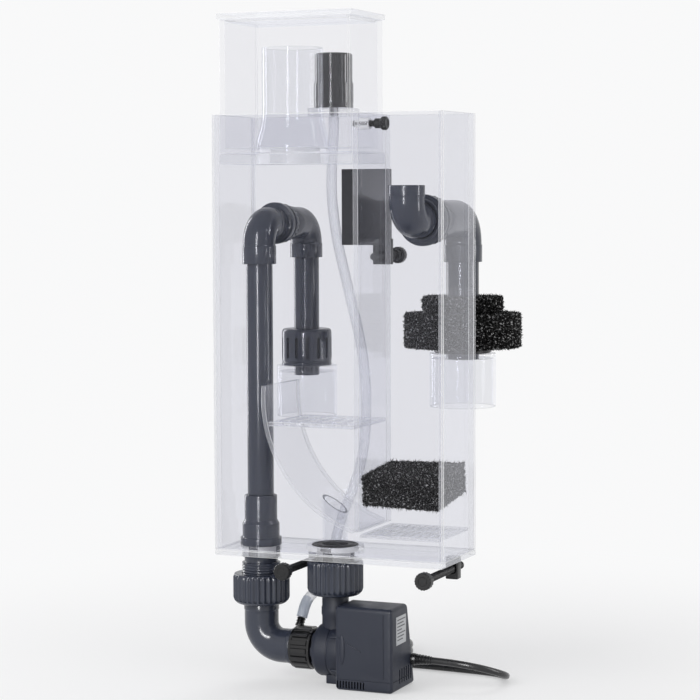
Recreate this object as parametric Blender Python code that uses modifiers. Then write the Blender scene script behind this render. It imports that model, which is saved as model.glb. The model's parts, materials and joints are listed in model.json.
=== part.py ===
"""Hang-on-back protein skimmer: a clear acrylic box with a skimming chamber and an outflow chamber, a lift-out
collection cup, a needle-wheel pump hung below it, grey PVC lines over the tank's wall, and a rim bracket.

Metres, +Z up, +X to the right along the front, +Y back towards the tank. The row origin is where the bracket
rests on the tank's rim. Sub-parts are placed in the box's own coordinates, whose zero is the box's lower front
left corner, by parenting to the empty box_corner.
"""
from math import acos, atan, cos, pi, radians, sin, sqrt

import bmesh
import bpy
from mathutils import Matrix, Vector

MM = 0.001
GAP = 0.3 * MM                       # between pieces that touch

# The clear box
BOX_W, BOX_D, BOX_H = 0.228, 0.090, 0.412
WALL = 0.005
RIM_REST = Vector((0.117, 0.107, 0.2897))   # the row origin, in box coordinates
PARTITION_X = 0.140                  # left face of the wall between the two chambers
SEAT_LOW, SEAT_HIGH = 0.366, 0.376   # plate that closes the skimming chamber, under the cup
MID_Y = BOX_D / 2

# The curved baffle, an arc seen from the front
BAFFLE_CENTRE = Vector((0.1742, 0, 0.1493))
BAFFLE_R = 0.1256
BAFFLE_T = 0.004
BUBBLE_PLATE_Z = 0.123
GRATE_Z = 0.0235

# The collection cup
CUP_X = (0.0058, 0.1376)
CUP_Y = (0.0058, 0.0842)
CUP_Z = (0.3768, 0.5000)
CUP_WALL = 0.0035
NECK_R, NECK_FLARE_R, NECK_TOP = 0.0287, 0.0353, 0.4745
NECK_X = 0.0626
LID_LIP = 0.003

# Pipes: outside radii, and the wall of a fitting round a pipe
PIPE_R, PIPE_WALL = 0.0125, 0.0019   # 25 mm PVC
DRAIN_R, DRAIN_WALL = 0.0160, 0.0024  # 32 mm PVC
SOCKET_R, DRAIN_SOCKET_R = 0.0160, 0.0192
BEND_R = 0.020                       # centreline of the 25 mm bends
INTAKE_X, INTAKE_Z, INTAKE_DROP_Y = 0.027, 0.3105, 0.154
DRAIN_X, DRAIN_Z, DRAIN_DROP_Y = 0.179, 0.3135, 0.189
WEIR_Y, WEIR_R, WEIR_MOUTH_Z = 0.040, 0.0168, 0.3460

# The pump, its axis along X
PUMP_Z = -0.091
FLOOR_Z = -0.1214                    # lowest point of the pump
OUTLET_X = 0.104
HOUSING_X = (0.1172, 0.1745)
HOUSING_Y = (0.012, 0.070)
HOUSING_TOP, HOUSING_TOP_BACK = -0.0430, 0.051
ROTOR_BORE_R = 0.0105

# Screws
LEVEL_X = (0.070, 0.2105)
LEVEL_Z = -0.0117
LUG_Y = (0.072, 0.082)
SCREW_R, KNOB_R = 0.0038, 0.0082
CLAMP_Z = 0.2782
HOOK_X = (0.108, 0.126)
HOOK_BACK = 0.139
LOCK_Y, LOCK_Z = 0.0125, 0.4018

# Air line
SILENCER = Vector((0.079, 0.104, 0.4166))
HOSE_R = 0.005
BARB_END = Vector((0.0655, 0.0530, -0.0640))
BARB_WAY = Vector((0.1, 0.4, 0.91)).normalized()
VENTURI_X = (0.0626, 0.0853)

# Mains lead
CORD_R = 0.00325
BOOT_LENGTH = 0.020
CORD_EXIT = Vector((0.1745, 0.062, -0.0976))
COIL_CENTRE = Vector((0.082, 0.172, 0))
COIL_TURNS_ACROSS, COIL_LAYERS = 3, 2
COIL_OUTER_TURN = 0.0442             # centreline radius of the outermost turn
COIL_LIFT = 0.00005
PLUG_Y = 0.212

# Route points chosen by eye for a hose that drops behind the box and passes under it to the pump
HOSE_ROUTE = [
    (79.0, 104.0, 411.8), (79.0, 103.4, 396), (79.3, 98.5, 370), (80.0, 95.8, 341), (82.0, 95.8, 318),
    (86.3, 95.8, 291), (93.6, 95.8, 261), (99.5, 95.8, 237), (105.7, 95.8, 213), (110.8, 95.8, 189),
    (113.9, 95.8, 163), (114.8, 95.8, 141), (114.0, 95.8, 112), (110.5, 95.8, 86), (102.5, 95.8, 60),
    (92.5, 95.8, 36), (84.5, 96.3, 13), (80.0, 97.0, -7), (77.0, 92.5, -25), (71.5, 79.5, -39),
    (67.5, 63.0, -48.5),
]
# Out of the pump, down to the surface it stands on, and round behind the pump to the coil
CORD_ROUTE = [
    (212, 62, -98.2), (226, 62.5, -99.3), (241, 66.5, -102), (252, 77.5, -107), (256, 92.5, -112.5),
    (252, 107.5, -116.8), (241, 118.5, -118.1), (226, 122.5, -118.1), (200, 125, -118.1),
    (170, 127, -118.1), (140, 127.8, -118.1), (122, 127.8, -118.1),
]


# ---------------------------------------------------------------- scene and materials

def clear_scene():
    for obj in list(bpy.data.objects):
        bpy.data.objects.remove(obj, do_unlink=True)


def new_collection(name, hidden=False):
    made = bpy.data.collections.new(name)
    made.hide_render = hidden
    bpy.context.scene.collection.children.link(made)
    return made


def principled(name, colour, roughness, alpha=1.0, metallic=0.0):
    made = bpy.data.materials.new(name)
    made.use_nodes = True
    shader = made.node_tree.nodes["Principled BSDF"]
    shader.inputs["Base Color"].default_value = (*colour, 1)
    shader.inputs["Roughness"].default_value = roughness
    shader.inputs["Metallic"].default_value = metallic
    shader.inputs["Alpha"].default_value = alpha
    made.diffuse_color = (*colour, alpha)
    return made


clear_scene()
PARTS = new_collection("protein_skimmer")
CUTTERS = new_collection("cutters", hidden=True)
BOX = bpy.data.objects.new("box_corner", None)
BOX.location = -RIM_REST
PARTS.objects.link(BOX)

ACRYLIC = principled("clear_acrylic", (0.86, 0.87, 0.90), 0.08, alpha=0.3)
PVC = principled("grey_pvc", (0.085, 0.095, 0.115), 0.3)
PUMP_PLASTIC = principled("pump_plastic", (0.065, 0.070, 0.085), 0.5)
BLACK = principled("black_plastic", (0.015, 0.015, 0.017), 0.4)
SPONGE = principled("black_sponge", (0.012, 0.012, 0.013), 0.95)
HOSE = principled("clear_hose", (0.80, 0.82, 0.86), 0.35, alpha=0.6)
RUBBER = principled("cord_rubber", (0.012, 0.012, 0.012), 0.5)
MAGNET = principled("magnet", (0.05, 0.05, 0.055), 0.4)
CERAMIC = principled("ceramic", (0.85, 0.85, 0.82), 0.3)


# ---------------------------------------------------------------- building blocks

def place(obj, material, at=(0, 0, 0), turn=(0, 0, 0), collection=None):
    (collection or PARTS).objects.link(obj)
    obj.parent = BOX
    obj.location = at
    obj.rotation_euler = turn
    if material:
        obj.data.materials.append(material)
    return obj


def mesh_object(name, bm, material, at=(0, 0, 0), turn=(0, 0, 0)):
    mesh = bpy.data.meshes.new(name)
    bm.to_mesh(mesh)
    bm.free()
    return place(bpy.data.objects.new(name, mesh), material, at, turn)


def as_cutter(obj):
    """Moves a finished object to the cutters' collection."""
    PARTS.objects.unlink(obj)
    CUTTERS.objects.link(obj)
    obj.hide_render = True
    obj.display_type = "WIRE"
    return obj


def combine(obj, other, operation="DIFFERENCE"):
    boolean = obj.modifiers.new(operation.lower(), "BOOLEAN")
    boolean.operation = operation
    boolean.solver = "EXACT"
    boolean.object = as_cutter(other)
    return obj


def round_edges(obj, width, segments=2):
    bevel = obj.modifiers.new("bevel", "BEVEL")
    bevel.width = width
    bevel.segments = segments
    bevel.limit_method = "ANGLE"
    return obj


def slab(name, low, high, material, at=None):
    """A box between two corners, with its origin at its middle or at a given point."""
    low, high = Vector(low), Vector(high)
    origin = (low + high) / 2 if at is None else Vector(at)
    bm = bmesh.new()
    bmesh.ops.create_cube(bm, size=1)
    for vert in bm.verts:
        share = vert.co + Vector((0.5, 0.5, 0.5))
        vert.co = Vector(low[i] + share[i] * (high[i] - low[i]) for i in range(3)) - origin
    return mesh_object(name, bm, material, origin)


ALONG = {"Z": (0, 0, 0), "Y": (-pi / 2, 0, 0), "X": (0, pi / 2, 0)}


def turned(name, outline, material, at, axis="Z", steps=24):
    """Turns (radius, height) points round an axis. They run down the outer side; a ring closes on itself."""
    ring = min(radius for radius, _ in outline) > 0
    bm = bmesh.new()
    verts = [bm.verts.new((radius, 0, height)) for radius, height in outline]
    for first, second in zip(verts, verts[1:] + (verts[:1] if ring else [])):
        bm.edges.new((first, second))
    obj = mesh_object(name, bm, material, at, ALONG[axis])
    screw = obj.modifiers.new("screw", "SCREW")
    screw.steps = screw.render_steps = steps
    screw.use_merge_vertices = True
    screw.merge_threshold = 0.00001
    return obj


def ring(name, outer, inner, low, high, material, at, axis="Z", steps=24):
    outline = [(outer, high), (outer, low), (inner, low), (inner, high)]
    return turned(name, outline, material, at, axis, steps)


def rod(name, radius, low, high, material, at, axis="Z", steps=24):
    return turned(name, [(0, high), (radius, high), (radius, low), (0, low)], material, at, axis, steps)


def poly_curve(name, points, radius, resolution, caps):
    curve = bpy.data.curves.new(name, "CURVE")
    curve.dimensions = "3D"
    curve.bevel_depth = radius
    curve.bevel_resolution = resolution
    curve.use_fill_caps = caps
    spline = curve.splines.new("POLY")
    spline.points.add(len(points) - 1)
    for slot, point in zip(spline.points, points):
        slot.co = (*point, 1)
    return bpy.data.objects.new(name, curve)


def pipe(name, points, radius, wall, material, resolution=6):
    """An open-ended pipe of even wall along a route."""
    guide = poly_curve(name + "_guide", points, radius, resolution, caps=False)
    CUTTERS.objects.link(guide)
    bpy.context.view_layer.update()
    mesh = bpy.data.meshes.new_from_object(guide.evaluated_get(bpy.context.evaluated_depsgraph_get()))
    bpy.data.objects.remove(guide, do_unlink=True)
    mesh.materials.clear()
    obj = place(bpy.data.objects.new(name, mesh), material)
    solidify = obj.modifiers.new("wall", "SOLIDIFY")
    solidify.thickness = wall
    solidify.offset = -1
    solidify.use_even_offset = True
    return obj


def elbow_route(start, corner, end, bend, steps=6):
    """Straight, a quarter turn of the given centreline radius, straight."""
    start, corner, end = Vector(start), Vector(corner), Vector(end)
    into, out = (corner - start).normalized(), (end - corner).normalized()
    centre = corner - into * bend + out * bend
    arc = []
    for step in range(steps + 1):
        angle = pi / 2 * step / steps
        arc.append(centre - out * bend * cos(angle) + into * bend * sin(angle))
    return [start] + arc + [end]


def smooth_route(points, spacing):
    """Evenly spaced points along a smooth curve through the given ones, all in metres."""
    dense = []
    count = len(points)
    for i in range(count - 1):
        before, here = points[max(i - 1, 0)], points[i]
        there, after = points[i + 1], points[min(i + 2, count - 1)]
        for step in range(20):
            t = step / 20
            dense.append(0.5 * (2 * here + (there - before) * t
                                + (2 * before - 5 * here + 4 * there - after) * t * t
                                + (3 * here - before - 3 * there + after) * t ** 3))
    dense.append(points[-1])
    length = sum((b - a).length for a, b in zip(dense, dense[1:]))
    number = max(2, round(length / spacing))
    even, walked, target = [dense[0]], 0.0, length / number
    for a, b in zip(dense, dense[1:]):
        part = (b - a).length
        while walked + part >= target and len(even) < number:
            even.append(a.lerp(b, (target - walked) / part))
            target += length / number
        walked += part
    return even + [dense[-1]]


def millimetres(points):
    return [Vector(point) * MM for point in points]


# ---------------------------------------------------------------- the clear box

def make_walls():
    slab("bottom_panel", (0, 0, 0), (BOX_W, BOX_D, WALL), ACRYLIC)
    low = WALL + GAP
    slab("front_panel", (0, 0, low), (BOX_W, WALL, BOX_H), ACRYLIC)
    slab("back_panel", (0, BOX_D - WALL, low), (BOX_W, BOX_D, BOX_H), ACRYLIC)
    inside = (WALL + GAP, BOX_D - WALL - GAP)
    slab("side_panel_left", (0, inside[0], low), (WALL, inside[1], BOX_H), ACRYLIC)
    slab("side_panel_right", (BOX_W - WALL, inside[0], low), (BOX_W, inside[1], BOX_H), ACRYLIC)
    foot = baffle_height(PARTITION_X, BAFFLE_R)
    slab("partition_wall", (PARTITION_X, inside[0], foot), (PARTITION_X + WALL, inside[1], BOX_H), ACRYLIC)


def make_seat_plate():
    """Closes the skimming chamber below the cup, open in the middle for the rising foam."""
    low = (WALL + GAP, WALL + GAP, SEAT_LOW)
    high = (PARTITION_X - GAP, BOX_D - WALL - GAP, SEAT_HIGH)
    plate = slab("chamber_top_plate", low, high, ACRYLIC)
    hole = rod("seat_hole", NECK_FLARE_R - 0.002, -0.01, 0.02, None, (NECK_X, MID_Y, SEAT_LOW))
    combine(plate, hole)


def baffle_height(x, radius):
    return BAFFLE_CENTRE.z - sqrt(radius ** 2 - (x - BAFFLE_CENTRE.x) ** 2)


def baffle_angle(x):
    return acos((BAFFLE_CENTRE.x - x) / BAFFLE_R)


def make_baffle():
    """A sheet bent to an arc, from the chamber's left side down to the foot of the partition."""
    bm = bmesh.new()
    first, last, steps = radians(-5), baffle_angle(PARTITION_X - 0.002), 16
    front, back = WALL + GAP, BOX_D - WALL - GAP
    rows = []
    for step in range(steps + 1):
        angle = first + (last - first) * step / steps
        x = BAFFLE_CENTRE.x - BAFFLE_R * cos(angle)
        z = BAFFLE_CENTRE.z - BAFFLE_R * sin(angle)
        rows.append([bm.verts.new((x, front, z)), bm.verts.new((x, back, z))])
    for row, following in zip(rows, rows[1:]):
        bm.faces.new((row[0], row[1], following[1], following[0]))
    bmesh.ops.recalc_face_normals(bm, faces=bm.faces)
    baffle = mesh_object("curved_baffle", bm, ACRYLIC)
    solidify = baffle.modifiers.new("sheet", "SOLIDIFY")
    solidify.thickness = BAFFLE_T
    solidify.offset = 0
    hole = rod("baffle_hole", TUBE_R + GAP, 0, 0.09, None, (OUTLET_X, MID_Y, 0.02))
    combine(baffle, hole)


def make_bubble_plate():
    """A perforated plate across the curved baffle, which spreads the bubbles."""
    left = BAFFLE_CENTRE.x - sqrt(BAFFLE_R ** 2 - (BUBBLE_PLATE_Z - BAFFLE_CENTRE.z) ** 2) + 0.0028
    low, high = (left, WALL + GAP, BUBBLE_PLATE_Z), (PARTITION_X - GAP, BOX_D - WALL - GAP, BUBBLE_PLATE_Z + 0.004)
    plate = slab("bubble_plate", low, high, ACRYLIC)
    rows, columns, pitch = 4, 6, 0.0130
    bm = bmesh.new()
    for row in range(rows):
        for column in range(columns):
            made = bmesh.ops.create_cone(bm, cap_ends=True, segments=6, radius1=0.0034, radius2=0.0034, depth=0.02)
            spot = ((column - (columns - 1) / 2) * pitch, (row - (rows - 1) / 2) * pitch, 0)
            bmesh.ops.translate(bm, verts=made["verts"], vec=spot)
    centre = ((low[0] + high[0]) / 2, MID_Y, BUBBLE_PLATE_Z)
    combine(plate, mesh_object("bubble_holes", bm, None, centre))


def make_media_grate():
    """The slotted shelf at the foot of the outflow chamber."""
    low = (PARTITION_X + WALL + GAP, WALL + GAP, GRATE_Z)
    high = (BOX_W - WALL - GAP, BOX_D - WALL - GAP, GRATE_Z + 0.003)
    grate = slab("media_grate", low, high, ACRYLIC)
    slots, pitch, width = 9, 0.008, 0.004
    bm = bmesh.new()
    for row in (-1, 1):
        for slot in range(slots):
            made = bmesh.ops.create_cube(bm, size=1)
            bmesh.ops.scale(bm, verts=made["verts"], vec=(width, 0.031, 0.02))
            spot = ((slot - (slots - 1) / 2) * pitch, row * 0.0185, 0)
            bmesh.ops.translate(bm, verts=made["verts"], vec=spot)
    centre = ((low[0] + high[0]) / 2, MID_Y, GRATE_Z)
    combine(grate, mesh_object("grate_slots", bm, None, centre))


def make_sponge_block():
    block = slab("sponge_block", (0.1462, 0.0090, 0.052), (0.2212, 0.0810, 0.078), SPONGE)
    block.rotation_euler.x = radians(6)
    block.location.z += 0.0045


def drill_back_panel():
    back = bpy.data.objects["back_panel"]
    intake = rod("intake_port", BULKHEAD_R + GAP, -0.02, 0.02, None, (INTAKE_X, BOX_D, INTAKE_Z), "Y")
    drain = rod("drain_port", DRAIN_BULKHEAD_R + GAP, -0.02, 0.02, None, (DRAIN_X, BOX_D, DRAIN_Z), "Y")
    combine(back, intake)
    combine(back, drain)


def drill_bottom_panel():
    bottom = bpy.data.objects["bottom_panel"]
    flange = ring("outlet_flange", 0.0275, 0.0223, 0.002, 0.0095, None, (OUTLET_X, MID_Y, 0), steps=24)
    combine(bottom, flange, "UNION")
    combine(bottom, rod("riser_port", ADAPTER_NECK_R + GAP, -0.01, 0.02, None, (INTAKE_X, MID_Y, 0)))
    combine(bottom, rod("outlet_port", OUTLET_BODY_R + GAP, -0.01, 0.02, None, (OUTLET_X, MID_Y, 0)))


def drill_partition():
    """The lock screw's boss is glued to the partition, and its bore runs through both."""
    partition, at = bpy.data.objects["partition_wall"], (PARTITION_X, LOCK_Y, LOCK_Z)
    combine(partition, rod("lock_boss", 0.0055, 0.002, WALL + 0.0095, None, at, "X", steps=16), "UNION")
    combine(partition, rod("lock_bore", SCREW_R * 0.8 + GAP, -0.01, 0.03, None, at, "X", steps=16))


# ---------------------------------------------------------------- the collection cup

def make_cup():
    outer = slab("cup_box", (CUP_X[0], CUP_Y[0], CUP_Z[0]), (CUP_X[1], CUP_Y[1], CUP_Z[1]), ACRYLIC)
    inner_low = (CUP_X[0] + CUP_WALL, CUP_Y[0] + CUP_WALL, CUP_Z[0] + 0.004)
    inner_high = (CUP_X[1] - CUP_WALL, CUP_Y[1] - CUP_WALL, CUP_Z[1] + 0.01)
    combine(outer, slab("cup_inside", inner_low, inner_high, None))
    hole = rod("cup_hole", NECK_FLARE_R - 0.003, -0.01, 0.01, None, (NECK_X, MID_Y, CUP_Z[0]))
    combine(outer, hole)


def make_neck():
    """The foam riser: a cone that narrows into a tube open at the top."""
    wall, foot = 0.0025, CUP_Z[0] + 0.004 + GAP
    bend = [(NECK_R + 0.0020, foot + 0.0210), (NECK_FLARE_R, foot + 0.0035), (NECK_FLARE_R, foot)]
    outer = [(NECK_R, NECK_TOP), (NECK_R, foot + 0.029)] + bend
    inner = [(radius - wall, height) for radius, height in reversed(outer)]
    turned("cup_neck", outer + inner, ACRYLIC, (NECK_X, MID_Y, 0), steps=24)


def make_lid():
    low, high = (0.0033, 0.0033, CUP_Z[1] + GAP), (0.1395, 0.0867, CUP_Z[1] + 0.0055)
    lid = slab("cup_lid", low, high, ACRYLIC)
    clear = CUP_WALL + 0.0008
    lip_low = (CUP_X[0] + clear, CUP_Y[0] + clear, CUP_Z[1] + GAP - LID_LIP)
    lip_high = (CUP_X[1] - clear, CUP_Y[1] - clear, CUP_Z[1] + 0.002)
    combine(lid, slab("lid_lip", lip_low, lip_high, None), "UNION")


def make_cup_lock():
    """A thumbscrew through the partition that holds the cup by its side."""
    face = PARTITION_X + WALL
    at = (face, LOCK_Y, LOCK_Z)
    radius = SCREW_R * 0.8
    tip = CUP_X[1] + GAP - face
    rod("cup_lock_shaft", radius, tip, 0.0145, BLACK, at, "X", steps=12)
    knob = [(0, 0.0262), (0.0062, 0.0262), (0.0062, 0.0190), (0.0045, 0.0175), (0.0045, 0.0148), (0, 0.0148)]
    turned("cup_lock_knob", knob, BLACK, at, "X", steps=16)


# ---------------------------------------------------------------- pipes through the back

BULKHEAD_R, DRAIN_BULKHEAD_R = 0.0160, 0.0205
BULKHEAD_FLANGE_R, DRAIN_FLANGE_R = 0.0200, 0.0242


def bulkhead(name, bore, body, flange, at, first, flange_start):
    """A flanged sleeve through the back panel; heights are along +Y from the panel's outer face."""
    inside, outside = -WALL - GAP, 0.0085
    outline = [(bore, outside), (body, outside), (body, inside), (flange, inside), (flange, flange_start),
               (body, flange_start), (body, first), (bore, first)]
    return turned(name, outline, PVC, at, "Y", steps=20)


def make_intake_line():
    at = (INTAKE_X, BOX_D, INTAKE_Z)
    bulkhead("intake_bulkhead", PIPE_R + GAP, BULKHEAD_R, BULKHEAD_FLANGE_R, at, -0.0170, -0.0110)
    up_end = BOX_D - 0.0173
    route = elbow_route((INTAKE_X, MID_Y, 0.2724), (INTAKE_X, MID_Y, INTAKE_Z), (INTAKE_X, up_end, INTAKE_Z), BEND_R)
    pipe("riser_elbow", route, SOCKET_R, SOCKET_R - PIPE_R - 2 * GAP, PVC)
    start = BOX_D + 0.0088
    route = elbow_route((INTAKE_X, start, INTAKE_Z), (INTAKE_X, INTAKE_DROP_Y, INTAKE_Z),
                        (INTAKE_X, INTAKE_DROP_Y, 0.2760), BEND_R)
    pipe("intake_elbow", route, SOCKET_R, SOCKET_R - PIPE_R - 2 * GAP, PVC)
    drop = (INTAKE_X, INTAKE_DROP_Y, 0)
    ring("intake_pipe", PIPE_R, PIPE_R - PIPE_WALL, 0.1592, 0.2900, PVC, drop)
    ring("riser_pipe", PIPE_R, PIPE_R - PIPE_WALL, 0.0320, 0.2900, PVC, (INTAKE_X, MID_Y, 0))


def make_strainer():
    """The slotted nut round the intake pipe's end, and the clear guard below it."""
    at = (INTAKE_X, INTAKE_DROP_Y, 0)
    top, foot, outer, bore = 0.2055, 0.1693, 0.0247, PIPE_R + GAP
    outline = [(bore, top), (outer - 0.002, top), (outer, top - 0.002), (outer, foot), (outer - 0.003, foot),
               (outer - 0.003, top - 0.005), (bore, top - 0.005)]
    nut = turned("strainer_nut", outline, PVC, at, steps=28)
    bm = bmesh.new()
    for i in range(12):
        angle = 2 * pi * i / 12
        made = bmesh.ops.create_cube(bm, size=1)
        bmesh.ops.scale(bm, verts=made["verts"], vec=(0.010, 0.0032, 0.022))
        bmesh.ops.translate(bm, verts=made["verts"], vec=(outer, 0, 0.0180))
        bmesh.ops.rotate(bm, verts=made["verts"], cent=(0, 0, 0), matrix=Matrix.Rotation(angle, 3, "Z"))
    combine(nut, mesh_object("strainer_slots", bm, None, (at[0], at[1], foot)))
    cup_r, wall = 0.0298, 0.002
    flange = 0.1690
    outline = [(bore, flange), (cup_r, flange), (cup_r, 0.1187), (cup_r - wall, 0.1187), (cup_r - wall, 0.1630),
               (bore, 0.1630)]
    turned("intake_guard", outline, ACRYLIC, at, steps=24)


def make_drain_line():
    at = (DRAIN_X, BOX_D, DRAIN_Z)
    bulkhead("drain_bulkhead", WEIR_R + GAP, DRAIN_BULKHEAD_R, DRAIN_FLANGE_R, at, -0.0165, -0.0110)
    mouth, end = (DRAIN_X, WEIR_Y, WEIR_MOUTH_Z), (DRAIN_X, BOX_D - 0.001, DRAIN_Z)
    route = elbow_route(mouth, (DRAIN_X, WEIR_Y, DRAIN_Z), end, 0.0195)
    weir = pipe("weir_elbow", [Vector(p) - Vector(end) for p in route], WEIR_R, 0.0022, PVC)
    weir.location = end
    start = (DRAIN_X, BOX_D + 0.0088, DRAIN_Z)
    route = elbow_route(start, (DRAIN_X, DRAIN_DROP_Y, DRAIN_Z), (DRAIN_X, DRAIN_DROP_Y, 0.2715), 0.023)
    pipe("drain_elbow", route, DRAIN_SOCKET_R, DRAIN_SOCKET_R - DRAIN_R - 2 * GAP, PVC)
    ring("drain_pipe", DRAIN_R, DRAIN_R - DRAIN_WALL, 0.1700, 0.2880, PVC, (DRAIN_X, DRAIN_DROP_Y, 0))


def make_foams():
    """Two foam rings on the drain pipe, which catch bubbles, on a black ring over a clear guard."""
    at, bore = (DRAIN_X, DRAIN_DROP_Y, 0), DRAIN_R + GAP
    ring("foam_upper", 0.0412, bore, 0.2228, 0.2390, SPONGE, at, steps=24)
    ring("foam_lower", 0.0588, bore, 0.1868, 0.2225, SPONGE, at, steps=28)
    ring("foam_ring", 0.0280, bore, 0.1825, 0.1865, BLACK, at, steps=28)
    outer, wall = 0.0325, 0.0025
    outline = [(bore, 0.1822), (outer, 0.1822), (outer, 0.1295), (outer - wall, 0.1295), (outer - wall, 0.1768),
               (bore, 0.1768)]
    turned("drain_guard", outline, ACRYLIC, at, steps=28)


def make_bulkhead_nuts():
    """The two ring nuts that clamp the bulkheads from behind."""
    at = (INTAKE_X, BOX_D, INTAKE_Z)
    ring("intake_ring_nut", 0.0190, BULKHEAD_R + GAP, GAP, 0.0075, PVC, at, "Y", steps=24)
    at = (DRAIN_X, BOX_D, DRAIN_Z)
    ring("drain_ring_nut", 0.0235, DRAIN_BULKHEAD_R + GAP, GAP, 0.0080, PVC, at, "Y", steps=24)


# ---------------------------------------------------------------- fittings through the floor

ADAPTER_NECK_R = 0.0182
OUTLET_BODY_R = 0.0180
TUBE_R, TUBE_WALL = 0.0118, 0.0020
UNION_FACE = -0.0222                 # where the union nuts meet the fittings


def make_floor_adapter():
    """Steps down from the riser to the union below the box, in one piece through the floor."""
    bore = PIPE_R + GAP
    outline = [(bore, 0.0528), (0.0155, 0.0528), (0.0155, 0.0288), (0.0177, 0.0258), (0.0177, 0.0128),
               (0.0196, 0.0124),
               (0.0196, WALL + GAP), (ADAPTER_NECK_R, WALL + GAP), (ADAPTER_NECK_R, -0.0060), (0.0160, -0.0064),
               (0.0160, -0.0112), (0.0183, -0.0116), (0.0183, -0.0500), (bore, -0.0500)]
    turned("floor_adapter", outline, PVC, (INTAKE_X, MID_Y, 0), steps=20)


def make_inlet_elbow():
    corner = (INTAKE_X, MID_Y, PUMP_Z)
    start = (INTAKE_X, MID_Y, -0.0503)
    route = elbow_route(start, corner, (VENTURI_X[0] - GAP, MID_Y, PUMP_Z), 0.022)
    pipe("pump_inlet_elbow", route, 0.0168, 0.0030, PVC)


def union_nut(name, x, outer, inner, low, high):
    """A nut that hangs on its fitting's thread; its origin is on its axis."""
    edge = 0.0018
    outline = [(inner, high), (outer - edge, high), (outer, high - edge), (outer, low + 0.006),
               (outer - 0.0035, low), (inner, low)]
    turned(name, outline, PVC, (x, MID_Y, 0), steps=24)


def make_outlet():
    """The pump's outlet: a clear tube up through the floor to the baffle, in a black bulkhead ring."""
    at = (OUTLET_X, MID_Y, 0)
    tube = ring("outlet_tube", TUBE_R, TUBE_R - TUBE_WALL, 0.0002, 0.0900, ACRYLIC, at, steps=28)
    slope = (baffle_height(OUTLET_X + 0.01, BAFFLE_R) - baffle_height(OUTLET_X - 0.01, BAFFLE_R)) / 0.02
    knife = slab("tube_knife", (-0.04, -0.04, 0), (0.04, 0.04, 0.09), None, at=(0, 0, 0))
    knife.location = (OUTLET_X, MID_Y, baffle_height(OUTLET_X, BAFFLE_R) + 0.0026)
    knife.rotation_euler.y = -atan(slope)
    combine(tube, knife)
    bore = TUBE_R + GAP
    outline = [(bore, 0.0100), (0.0220, 0.0100), (0.0220, WALL + GAP), (OUTLET_BODY_R, WALL + GAP),
               (OUTLET_BODY_R, -0.0380), (0.0120, -0.0380), (0.0120, -0.0002), (bore, -0.0002)]
    turned("outlet_bulkhead", outline, BLACK, at, steps=24)


# ---------------------------------------------------------------- pump

def make_venturi():
    """The black ring between elbow and pump, with the barb that the air hose is pushed on."""
    length = VENTURI_X[1] - VENTURI_X[0]
    at = (VENTURI_X[0], MID_Y, PUMP_Z)
    body = ring("venturi_ring", 0.0205, 0.0130, 0, length - GAP, BLACK, at, "X", steps=24)
    reach = 0.0092
    barb = rod("barb", HOSE_R * 0.88, 0, reach - GAP, None, BARB_END - BARB_WAY * reach, steps=12)
    barb.rotation_euler = BARB_WAY.to_track_quat("Z", "Y").to_euler()
    combine(body, barb, "UNION")


def make_volute():
    """Round pump chamber with a collar on the inlet side and the outlet neck standing up."""
    at = (VENTURI_X[1], MID_Y, PUMP_Z)
    end = HOUSING_X[0] - GAP - VENTURI_X[1]
    outline = [(0.0060, end - 0.0030), (0.0060, end), (0.0245, end), (0.0250, end - 0.001), (0.0250, 0.0060),
               (0.0235, 0.0035), (0.0190, 0.0035), (0.0190, 0.0003), (0.0125, 0.0003), (0.0125, 0.0065),
               (0.0215, 0.0065), (0.0215, end - 0.0030)]
    volute = turned("volute_cover", list(reversed(outline)), PUMP_PLASTIC, at, "X", steps=24)
    neck_low, neck_high = PUMP_Z + 0.0195, -0.0385
    neck = rod("volute_neck", 0.0126, neck_low, neck_high, None, (OUTLET_X, MID_Y, 0), steps=28)
    combine(volute, neck, "UNION")
    combine(volute, rod("neck_bore", 0.0095, neck_low - 0.008, 0, None, (OUTLET_X, MID_Y, 0), steps=20))
    foot = slab("volute_foot", (0.0990, 0.0330, FLOOR_Z), (0.1120, 0.0570, PUMP_Z - 0.0220), None)
    combine(volute, foot, "UNION")


def make_housing():
    """Potted motor block, its back wall leaning in towards the top."""
    low, high = (HOUSING_X[0], HOUSING_Y[0], FLOOR_Z), (HOUSING_X[1], HOUSING_Y[1], HOUSING_TOP)
    housing = slab("motor_housing", low, high, PUMP_PLASTIC)
    for vert in housing.data.vertices:
        if vert.co.z > 0 and vert.co.y > 0:
            vert.co.y -= HOUSING_Y[1] - HOUSING_TOP_BACK
    round_edges(housing, 0.003)
    bore = rod("rotor_bore", ROTOR_BORE_R, -0.01, 0.040, None, (HOUSING_X[0], MID_Y, PUMP_Z), "X")
    combine(housing, bore)


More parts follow.
